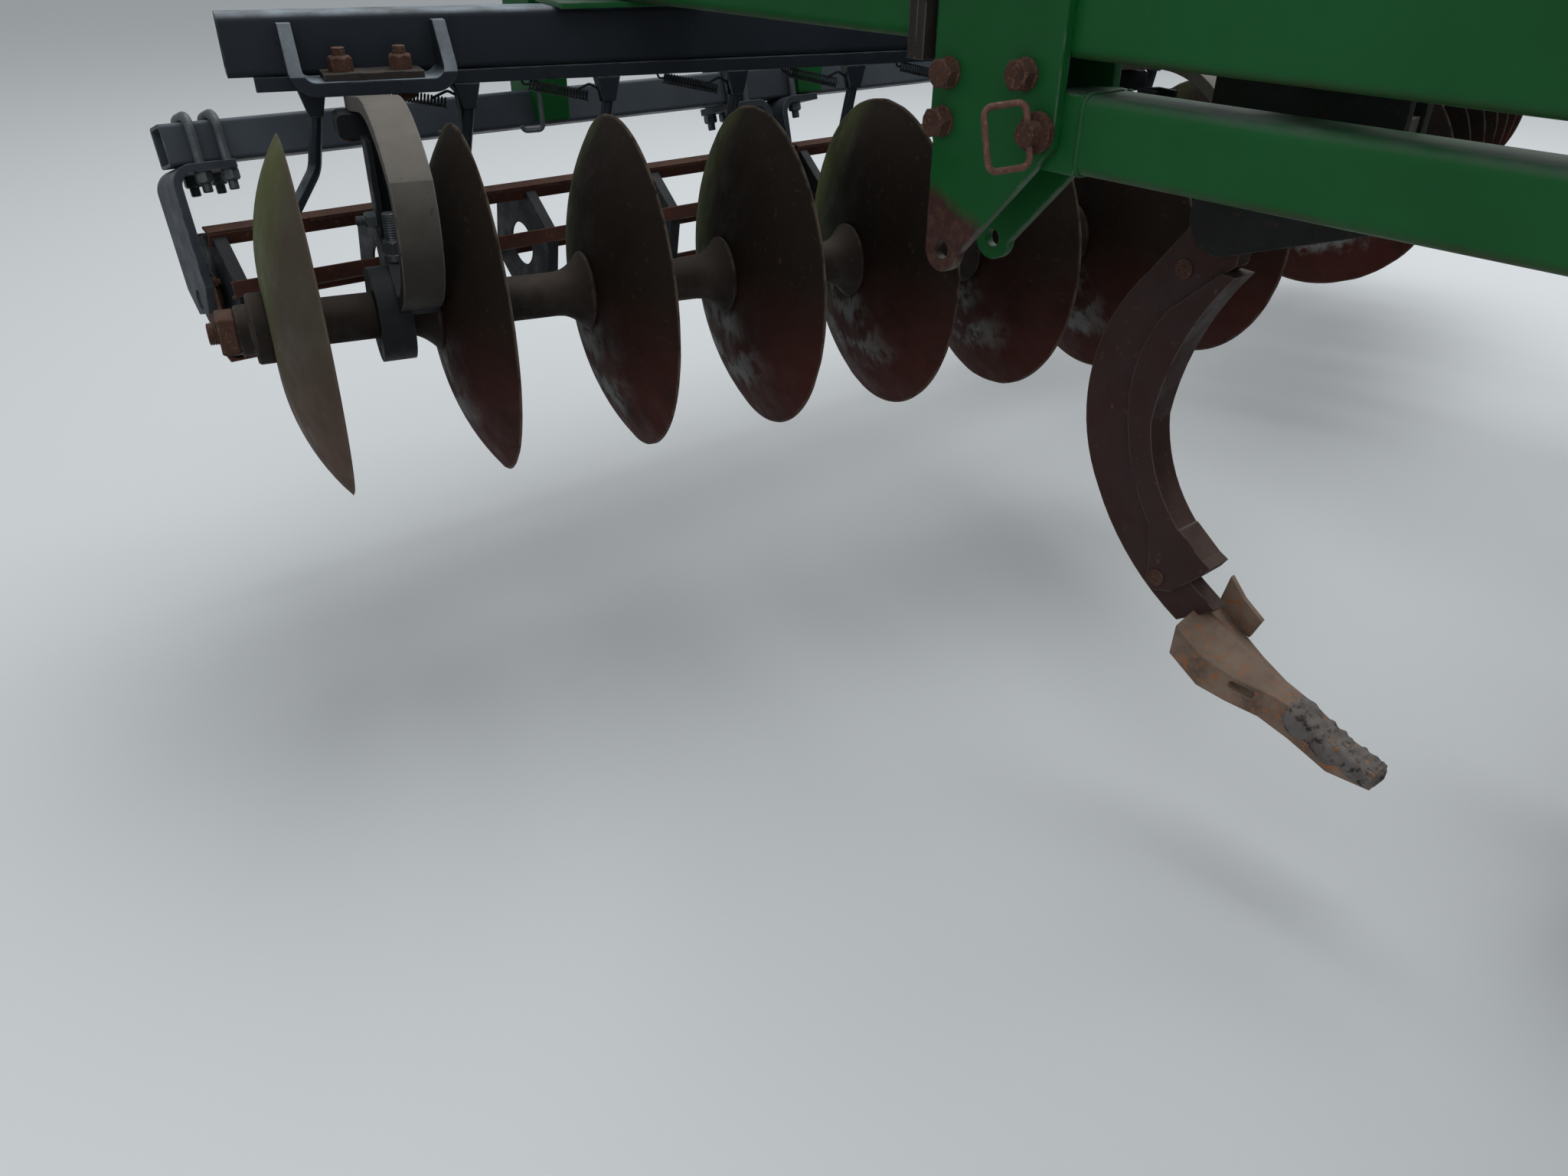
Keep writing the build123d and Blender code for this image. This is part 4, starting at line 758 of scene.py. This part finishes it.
basket = Choices(
    length=1390, bar=(140, 30, 5), barCut=1, bars=6, firstBar=19, plates=5,
    plate=(136, 26, 5), hole=48, endInset=20, shaft=20,
    shaftProfile=((0, 18), (0.5, 20), (48.5, 20), (50, 18)), columns=96)
basketMiddles = {side: jointPlace("basket_" + side + "_turn") for side in ("right", "centre", "left")}


def bevelledBar(radial, tangent, turn):
    # a bar along Y: a rectangle, radial by tangent, with its corners cut off, turned round the basket's axis
    (r0, r1), (t0, t1), cut = radial, tangent, basket.barCut
    section = np.array([
        (r0 + cut, t0), (r1 - cut, t0), (r1, t0 + cut), (r1, t1 - cut), (r1 - cut, t1), (r0 + cut, t1),
        (r0, t1 - cut), (r0, t0 + cut)])
    x = section[:, 0] * np.cos(turn) - section[:, 1] * np.sin(turn)
    z = section[:, 0] * np.sin(turn) + section[:, 1] * np.cos(turn)
    ends = (-basket.length / 2, basket.length / 2)
    return closedTube(np.stack([np.stack([x, np.full(8, y), z], -1) for y in ends]))


def pressedPlate(hole, way):
    # a six-sided pan: radius = apothem / cos(angle from the side's middle) outside, round hole in its floor;
    # the rows go round its section, and their small numbers ease its edges
    angle = around(basket.columns)
    six = np.cos(np.pi / 6) / np.cos(angle % (np.pi / 3) - np.pi / 6)
    out, width, thick = basket.plate
    wide = width / 2
    inner = out - thick / np.cos(np.pi / 6)
    base, circle = thick - wide, np.full_like(six, hole)
    rows = [
        (six * (out - 1.5), -wide), (six * out, 1.5 - wide), (six * out, wide - 1), (six * (out - 1), wide),
        (six * (inner + 1), wide), (six * inner, wide - 1), (six * inner, base + 3),
        (six * (inner - 3), base), (circle, base), (circle, -wide)]
    turn = angle + np.radians(basket.firstBar)
    rings = [np.stack([r * np.cos(turn), np.full_like(turn, y * way), r * np.sin(turn)], -1) for r, y in rows]
    return closedRing(np.stack(rings))


def basketBars():
    # each bar is an angle of two flats: one along the rim, one that stands in from its edge
    r, w, t = basket.bar
    for turn in np.radians(basket.firstBar) + around(basket.bars):
        yield bevelledBar((r - t, r), (-w / 2, w / 2), turn)
        yield bevelledBar((r - w, r - t), (-w / 2, t - w / 2), turn)


def basketPlates():
    # plates at equal steps that open towards the basket's middle, the end ones round the shafts
    end, last = basket.length / 2 - basket.endInset, basket.plates - 1
    for number, y in enumerate(np.linspace(-end, end, basket.plates)):
        hole = basket.shaft if number in (0, last) else basket.hole
        yield moved(pressedPlate(hole, 1 if y < 1 else -1), (0, y, 0))
    for way in (-1, 1):
        yield placed(turned(basket.shaftProfile, 28), (0, way * end, 0), (0, way, 0))


for side, middle in basketMiddles.items():
    body = "basket_" + side
    bars, plates = moved(join(basketBars()), middle), moved(join(basketPlates()), middle)
    addPiece("basket_bars_" + side, bars, rustedBar, body, replaced=body)
    addPiece("basket_plates_" + side, plates, blackCasting, body)

# What holds the baskets to their square tube: U-bolts round it, and flange bearings on the hangers

tubeSizes = Choices(fromAxis=(-71, 274), width=76, toHanger=25, hangerThick=16)
uBolt = Choices(
    wire=9.5, slack=0.5, below=36, bend=26, washer=(((0, 16), (3, 16), (3.2, 14)), 16), nut=(29, 18, 3),
    thread=(9.4, 20, 38), away={"right": (56, 105), "left": (56, 105), "centre": (52,)})
bearing = Choices(
    profile=((0, 23), (0, 68), (4, 68), (5.5, 62), (7, 56), (13, 51), (17, 44), (19, 34), (19, 23)),
    segments=40, boltRadius=58, boltTurns=(45, 135, 225, 315), nut=(20, 9), thread=(5.5, 8, 15, 2))


def fromTube(shape):
    # x', y, z' about the tube's middle, leaned so that the tube's -z' looks down at the baskets' axis
    back, up = tubeSizes.fromAxis
    lean = np.arctan2(-back, up)
    turn = np.array([[np.cos(lean), 0, np.sin(lean)], [0, 1, 0], [-np.sin(lean), 0, np.cos(lean)]])
    return moved(shape, basketMiddles["centre"] * (1, 0, 1) + (back, 0, up), turn)


uBolts, uNuts, cups, cupBolts = [], [], [], []
uNut, cupBolt = bolt(uBolt), bolt(bearing)
cupShape = turned(bearing.profile, bearing.segments, closedRing)
half = tubeSizes.width / 2 + uBolt.wire + uBolt.slack
under = -tubeSizes.width / 2 - tubeSizes.hangerThick
# a hanger stands at each end of each basket, and inward is the way from it to the basket
for side, inward in [(side, inward) for side in basketMiddles for inward in (1, -1)]:
    y = basketMiddles[side][1] - inward * (basket.length / 2 + tubeSizes.toHanger)
    for away in uBolt.away[side]:
        at, low = y + inward * away, under - uBolt.below
        corners = [(-half, at, low), (-half, at, half), (half, at, half), (half, at, low)]
        path = rounded(corners, uBolt.bend, 6)
        uBolts.append(fromTube(sweep(roundSection(uBolt.wire, 12), path, (0, 1, 0))))
        for x in (-half, half):
            uNuts.append(fromTube(placed(uNut, (x, at, under), (0, 0, -1), (1, 0, 0))))
    centre = basketMiddles["centre"] * (1, 0, 1) + (0, y + inward * tubeSizes.hangerThick / 2, 0)
    cups.append(placed(cupShape, centre, (0, inward, 0)))
    for corner in np.radians(bearing.boltTurns):
        spot = centre + bearing.boltRadius * np.array([np.cos(corner), 0, np.sin(corner)])
        cupBolts.append(placed(cupBolt, spot + (0, inward * bearing.profile[2][0], 0), (0, inward, 0)))
addPiece("u_bolts", join(uBolts), dullZinc, smoothAngle=60)
addPiece("u_bolt_nuts", join(uNuts), dullZinc)
addPiece("flange_bearings", join(cups), rustedBolt, "frame")
addPiece("flange_bearing_bolts", join(cupBolts), rustedBolt)
print("baskets dressed")

# Bolts through the bracket plates, at x from the plates' rear edge and z, and the welds round the links

bracketBolt = Choices(
    places=((24, 1124), (30, 1190), (168, 1202), (32, 1330), (176, 1330)),
    head={"washer": (((0, 22), (3, 22), (3.3, 19)), 20), "nut": (38, 21, 3)},
    end={"nut": (38, 20), "thread": (12, 19, 32)}, toInner=134, skew=0.2)
weld = Choices(
    radius=4, ripple=3.2, swell=0.14, sides=7, aside=(0.21, 0.93, 0.3), linkWidth=102, atLug=104,
    atAnchor=96, corner=16, inset=1, openBy=18)


def bracketBolts():
    # a head outside, a nut and bolt end on the inner plate's inside
    low, high = boxOf("link_brackets")
    head, nut = bolt(bracketBolt.head), bolt(bracketBolt.end)
    for x, z in bracketBolt.places:
        yield placed(head, (low[0] + x, high[1], z), (0, 1, 0), (1, 0, bracketBolt.skew))
        yield placed(nut, (low[0] + x, high[1] - bracketBolt.toInner, z), (0, -1, 0))


def weldBead(path):
    # a bead laid along a path: a round section that swells once in every ripple of its length; its side is
    # path x aside, a way that no bead here runs along
    length = np.concatenate([[0], np.cumsum(np.linalg.norm(np.diff(path, axis=0), axis=1))])
    even = np.linspace(0, length[-1], max(int(length[-1] / weld.ripple * 2), 4))
    line = np.stack([np.interp(even, length, path[:, k]) for k in range(3)], -1)
    along = unit(np.gradient(line, axis=0))
    side = unit(np.cross(along, weld.aside))
    up = np.cross(along, side)
    circle = roundSection(1.0, weld.sides)
    swell = weld.radius * (1 - weld.swell * ((np.arange(len(line)) + 1) % 2))[:, None, None]
    return closedTube(line[:, None] + swell * (circle[:, :1] * side[:, None] + circle[:, 1:] * up[:, None]))


def linkWelds():
    # round the square link where its rounded lug begins, and where its front end meets the anchors; the bead
    # starts a little way along the top, so that its ends don't run into each other
    low, high = boxOf("lower_links")
    start, z0, z1 = high[1] - weld.linkWidth + weld.openBy, low[2], high[2]
    y0, y1 = high[1] - weld.linkWidth + weld.inset, high[1] - weld.inset
    corners = ((start, z1), (y1, z1), (y1, z0), (y0, z0), (y0, z1))
    for x in (low[0] + weld.atLug, high[0] - weld.atAnchor):
        yield weldBead(rounded([(x, y, z) for y, z in corners], weld.corner, 4))


addPiece("bracket_bolts", join(bothSides(bracketBolts())), rustedBolt)
addPiece("link_welds", join(bothSides(linkWelds())), greenEnamel, "frame", 60)

# Bolts of the shanks, from each one's datum: pivot and trip bolts in the holders (x, z, flats), plough bolts
# in the guards (x, z, half width). datumShift moves the datums to the middle of the machine's length, and nut
# and thread are shares of the flats.

shankDatums = ((1215.0, 1219.0), (1215.0, -1219.0), (1825.0, 610.0), (1825.0, -610.0),
               (2435.0, 1829.0), (2435.0, 0.0), (2435.0, -1829.0))
shankBolts = Choices(
    holder=((150, 1075, 30), (214, 1110, 30)), holderHalf=32, nut=(1, 0.42),
    thread=(0.28, 0.4, 0.62), plough=((-30, 939, 16), (31.6, 442, 26)), datumShift=2997.5,
    ring=((0, 15), (2.5, 14.5), (3.5, 13), (3.5, 9), (1.5, 7.5), (1.5, 5), (3, 4.5), (3, 1)))


def shankHardware():
    # bolts stand out of the holders' sides, and grooved plough bolts out of the guards'
    b = shankBolts
    ring = turned(b.ring, 24)
    for x, y in shankDatums:
        datum = x - b.datumShift
        for side in (-1, 1):
            for dx, z, flats in b.holder:
                head = bolt({key: [flats * share for share in b[key]] for key in ("nut", "thread")})
                yield placed(head, (datum + dx, y + side * b.holderHalf, z), (0, side, 0))
            for dx, z, half in b.plough:
                yield placed(ring, (datum + dx, y + side * half, z), (0, side, 0))


addPiece("shank_bolts", join(shankHardware()), rustedBolt)

# The points' noses: a crust of lumps, laid over the last third of each share

nose = Choices(
    start=296, end=452, roundMm=12, rows=42, columns=36, proud=1.4, lumpMm=5,
    stations=(262, 312, 380, 446), half=(42, 33, 30, 25), crown=(346, 328, 300, 286),
    sole=(298, 280, 256, 259), growsOver=60, waveMm=9, sinksFrom=426, sinksOver=30, squareness=5,
    narrowing=0.3, turnStep=1.7, meanMm=30, flankSinks=0.16, startSinks=0.12)


def noseShape(x, y, turn):
    # an arch that follows the share: half width, crown and sole run straight between the stations, and lumps,
    # a sum of waves in both directions, grow from nothing at the start to lumpMm at the end
    p = nose
    along = np.linspace(p.start, p.end, p.rows)
    half, crown, sole = (np.interp(along, p.stations, p[key]) for key in ("half", "crown", "sole"))
    half, crown, sole = half + p.proud, crown + p.proud, sole - p.proud
    close = np.sqrt(np.clip(1 - np.clip((along - p.end) / p.roundMm + 1, 0, 1) ** 2, 0.04, 1))
    angle, power = around(p.columns), p.squareness
    square = 1 / (np.abs(np.cos(angle)) ** power + np.abs(np.sin(angle)) ** power) ** (1 / power)
    narrow = 1 - p.narrowing * np.clip(np.sin(angle), 0, 1)
    grown = np.clip((along - p.start) / p.growsOver, 0, 1)[:, None]
    u, v = along[:, None] / p.waveMm, angle[None] * 3
    waves = np.sin(u + 2 * np.sin(v + turn)) + np.sin(1.9 * u - v * 2 + turn) + np.sin(3.1 * u + v + 2 * turn)
    lumps = 1 + p.lumpMm / p.meanMm * (waves / 3) * grown * np.clip(0.4 + np.sin(angle), 0.15, 1)
    # the crust starts just under the share's skin, and stays under it on the flanks until near the tip
    untilTip = np.clip((p.sinksFrom - along[:, None]) / p.sinksOver, 0, 1)
    sunk = np.clip(0.25 - np.sin(angle + 0.5 * np.sin(u + turn)), 0, 1) * untilTip
    lumps = lumps - p.flankSinks * sunk - p.startSinks * np.clip(1 - grown * 4, 0, 1)
    middle, rise = (crown + sole) / 2, (crown - sole) / 2
    wide = half[:, None] * close[:, None] * (square * narrow * np.cos(angle))[None] * lumps
    high = middle[:, None] + rise[:, None] * close[:, None] * (square * np.sin(angle))[None] * lumps
    forward = np.broadcast_to(along[:, None], wide.shape)
    return closedTube(np.stack([forward + x - shankBolts.datumShift, wide + y, high], -1))


noses = join(noseShape(x, y, nose.turnStep * n) for n, (x, y) in enumerate(shankDatums))
addPiece("worn_noses", noses, noseSlag, "frame", 50)
print("shanks dressed")

# Tyres with a ribbed tread, and the bolts and caps of their hubs. The wall's points are (in from the side,
# out from the rim's seat) and (in from the side, in from the crown).

tyre = Choices(
    radius=378.5, width=241, rim=205, grooves=(-68, -24, 24, 68), depth=9, grooveHalf=4.5,
    bank=1.6, zigzag=4, waves=36, segments=144, crownRows=57, crownInset=32, grooveInset=30, bow=5.5,
    fromRim=((30, 0), (22, 12), (6, 45)), fromCrown=((0, -90), (3, -55), (9, -32), (17, -17), (26, -8)))


def tyreShape():
    # casing profile (across, radius), then grooves cut into the crown, where the way across comes within
    # grooveHalf of a line that swings from side to side as it goes round
    half, r = tyre.width / 2, tyre.radius
    wall = np.concatenate([np.array(tyre.fromRim) + (-half, tyre.rim), np.array(tyre.fromCrown) + (-half, r)])
    top = half - tyre.crownInset
    crown = np.linspace(-top, top, tyre.crownRows)
    bow = r - tyre.bow * np.clip(np.abs(crown) / top, 0, 1) ** 3
    profile = np.concatenate([wall, np.stack([crown, bow], -1), (wall * (-1, 1))[::-1]])
    rings = lathe(profile, tyre.segments)
    saw = np.abs((around(tyre.segments) * tyre.waves / np.pi) % 2 - 1)
    swing = tyre.zigzag * saw - tyre.zigzag / 2
    depth = np.zeros(rings.shape[:2])
    for groove in tyre.grooves:
        away = np.abs(profile[:, :1] - groove - swing[None])
        depth = np.maximum(depth, tyre.depth * np.clip(tyre.bank - away / tyre.grooveHalf, 0, 1))
    depth *= np.abs(profile[:, :1]) < half - tyre.grooveInset
    rings[..., 1:] *= (1 - depth / profile[:, 1:])[..., None]
    return closedRing(rings[..., [1, 0, 2]])


hub = Choices(
    cap=((0, 44), (16, 44), (22, 38), (24, 20)), capAway=75, capsAtHighY=("right_outer", "left_inner"),
    bolts=6, boltRadius=104, boltAway=26, nut=(24, 16))
treaded = tyreShape()
for name in ("right_outer", "right_inner", "left_inner", "left_outer"):
    axis = jointPlace("wheel_" + name + "_turn")
    addPiece("ribbed_tyre_" + name, moved(treaded, axis), tyreRubber, "wheel_" + name, 30,
             replaced="tyre_" + name)
    hardware = []
    for side in (-1, 1):
        if (side > 0) == (name in hub.capsAtHighY):
            hardware.append(placed(turned(hub.cap, 28), axis + (0, side * hub.capAway, 0), (0, side, 0)))
        for turn in around(hub.bolts):
            spot = axis + (hub.boltRadius * np.cos(turn), side * hub.boltAway, hub.boltRadius * np.sin(turn))
            hardware.append(placed(hexNut(*hub.nut), spot, (0, side, 0)))
    addPiece("hub_bolts_" + name, join(hardware), dullZinc, "wheel_" + name)
print("wheels dressed")

# Jack crank, and the glands and ports of the lift cylinders

crank = Choices(
    rod=9, rise=46, arm=165, grip=95, bend=18, gripStarts=16,
    collar=((-2, 34), (10, 34), (16, 28), (22, 18), (22, 12)),
    gripProfile=((0, 13), (3, 15), (80, 15), (84, 12)))
jackLow, jackHigh = boxOf("jack_tube")
jackTop = (jackLow + jackHigh) / 2 * (1, 1, 0) + (0, 0, jackHigh[2])
crankEnds = ((0, 0), (0, crank.rise), (crank.arm, crank.rise), (crank.arm, crank.rise + crank.grip))
crankPath = rounded([jackTop + (0, y, z) for y, z in crankEnds], crank.bend, 5)
collar = moved(turned(crank.collar, 28), jackTop)
grip = moved(turned(crank.gripProfile, 18), jackTop + (0, crank.arm, crank.rise + crank.gripStarts))
crankRod = sweep(roundSection(crank.rod, 12), crankPath, (1, 0, 0))
addPiece("jack_crank", join([crankRod, collar]), dullZinc, smoothAngle=50)
addPiece("jack_crank_grip", grip, blackEnamel, "frame", 50)

cylinder = Choices(
    y=990, glandAway=600, gland=((0, 54), (2, 60), (30, 60), (34, 56), (36, 27), (0, 27)),
    portsAway=(90, 560), portUnder=50,
    port={"washer": (((0, 14), (18, 14), (20, 11)), 16), "nut": (26, 14, 18)})
eye = jointPlace("barrel_pivot")
slide = np.array(joints["rod_slide"]["axis"])
below = np.array([slide[2], 0, -slide[0]])
gland = turned(cylinder.gland, 36, closedRing)
port = bolt(cylinder.port)
fittings = []
for side in (-1, 1):
    start = eye + (0, side * cylinder.y, 0)
    fittings.append(placed(gland, start + slide * cylinder.glandAway, slide))
    for away in cylinder.portsAway:
        fittings.append(placed(port, start + slide * away + below * cylinder.portUnder, below))
addPiece("cylinder_glands", join(fittings), blackEnamel, "barrels")
print("jack and cylinders dressed")


# Camera, floor and light

def stand(thing, place, right, up, back):
    # puts a camera or lamp at its place, its own axes along right, up and back
    aim = Matrix(np.stack([right, up, back], 1).tolist())
    thing.matrix_world = Matrix.Translation(place) @ aim.to_4x4()
    bpy.context.scene.collection.objects.link(thing)


cameraView = Choices(
    place=(-0.8962, -2.7874, 1.4071), right=(0.643851, 0.765038, 0.013132),
    up=(-0.402480, 0.324028, 0.856163), back=(0.650742, -0.556527, 0.516539), lensMm=26.46, sensorMm=36,
    seesTo=200)
camera = bpy.data.objects.new("camera", bpy.data.cameras.new("camera"))
camera.data.lens = cameraView.lensMm
camera.data.sensor_width = cameraView.sensorMm
camera.data.clip_end = cameraView.seesTo
stand(camera, cameraView.place, cameraView.right, cameraView.up, cameraView.back)
bpy.context.scene.camera = camera

floorLook = Choices(halfSize=60, colour="#c6cacc", rough=0.9)
floorMesh = bpy.data.meshes.new("floor")
half = floorLook.halfSize
corners = [(-half, -half, 0), (half, -half, 0), (half, half, 0), (-half, half, 0)]
floorMesh.from_pydata(corners, [], [(0, 1, 2, 3)])
floor = bpy.data.objects.new("floor", floorMesh)
bpy.context.scene.collection.objects.link(floor)
floorMaterial = bpy.data.materials.new("plain pale floor")
floorMaterial.use_nodes = True
floorShader = floorMaterial.node_tree.nodes["Principled BSDF"]
floorShader.inputs["Base Color"].default_value = toLinear(floorLook.colour)
floorShader.inputs["Roughness"].default_value = floorLook.rough
floorMesh.materials.append(floorMaterial)

# each lamp is an area light that looks at the origin: its place, watts and size
lights = Choices(
    sky="#f2f5f8", skyStrength=0.56,
    lamps={"key": ((-3, 2.5, 8.5), 720, 9), "fill": ((3, -5, 6.5), 110, 5)})
world = bpy.data.worlds.new("studio")
bpy.context.scene.world = world
world.use_nodes = True
background = world.node_tree.nodes["Background"].inputs
background["Color"].default_value = toLinear(lights.sky)
background["Strength"].default_value = lights.skyStrength
for lampName, (place, power, size) in lights.lamps.items():
    lamp = bpy.data.lights.new(lampName, "AREA")
    lamp.energy = power
    lamp.size = size
    back = unit(place)
    side = unit(np.cross((0, 0, 1), back))
    stand(bpy.data.objects.new(lampName, lamp), place, side, np.cross(back, side), back)
bpy.context.scene.view_settings.view_transform = "Standard"
print("camera, floor and light set")
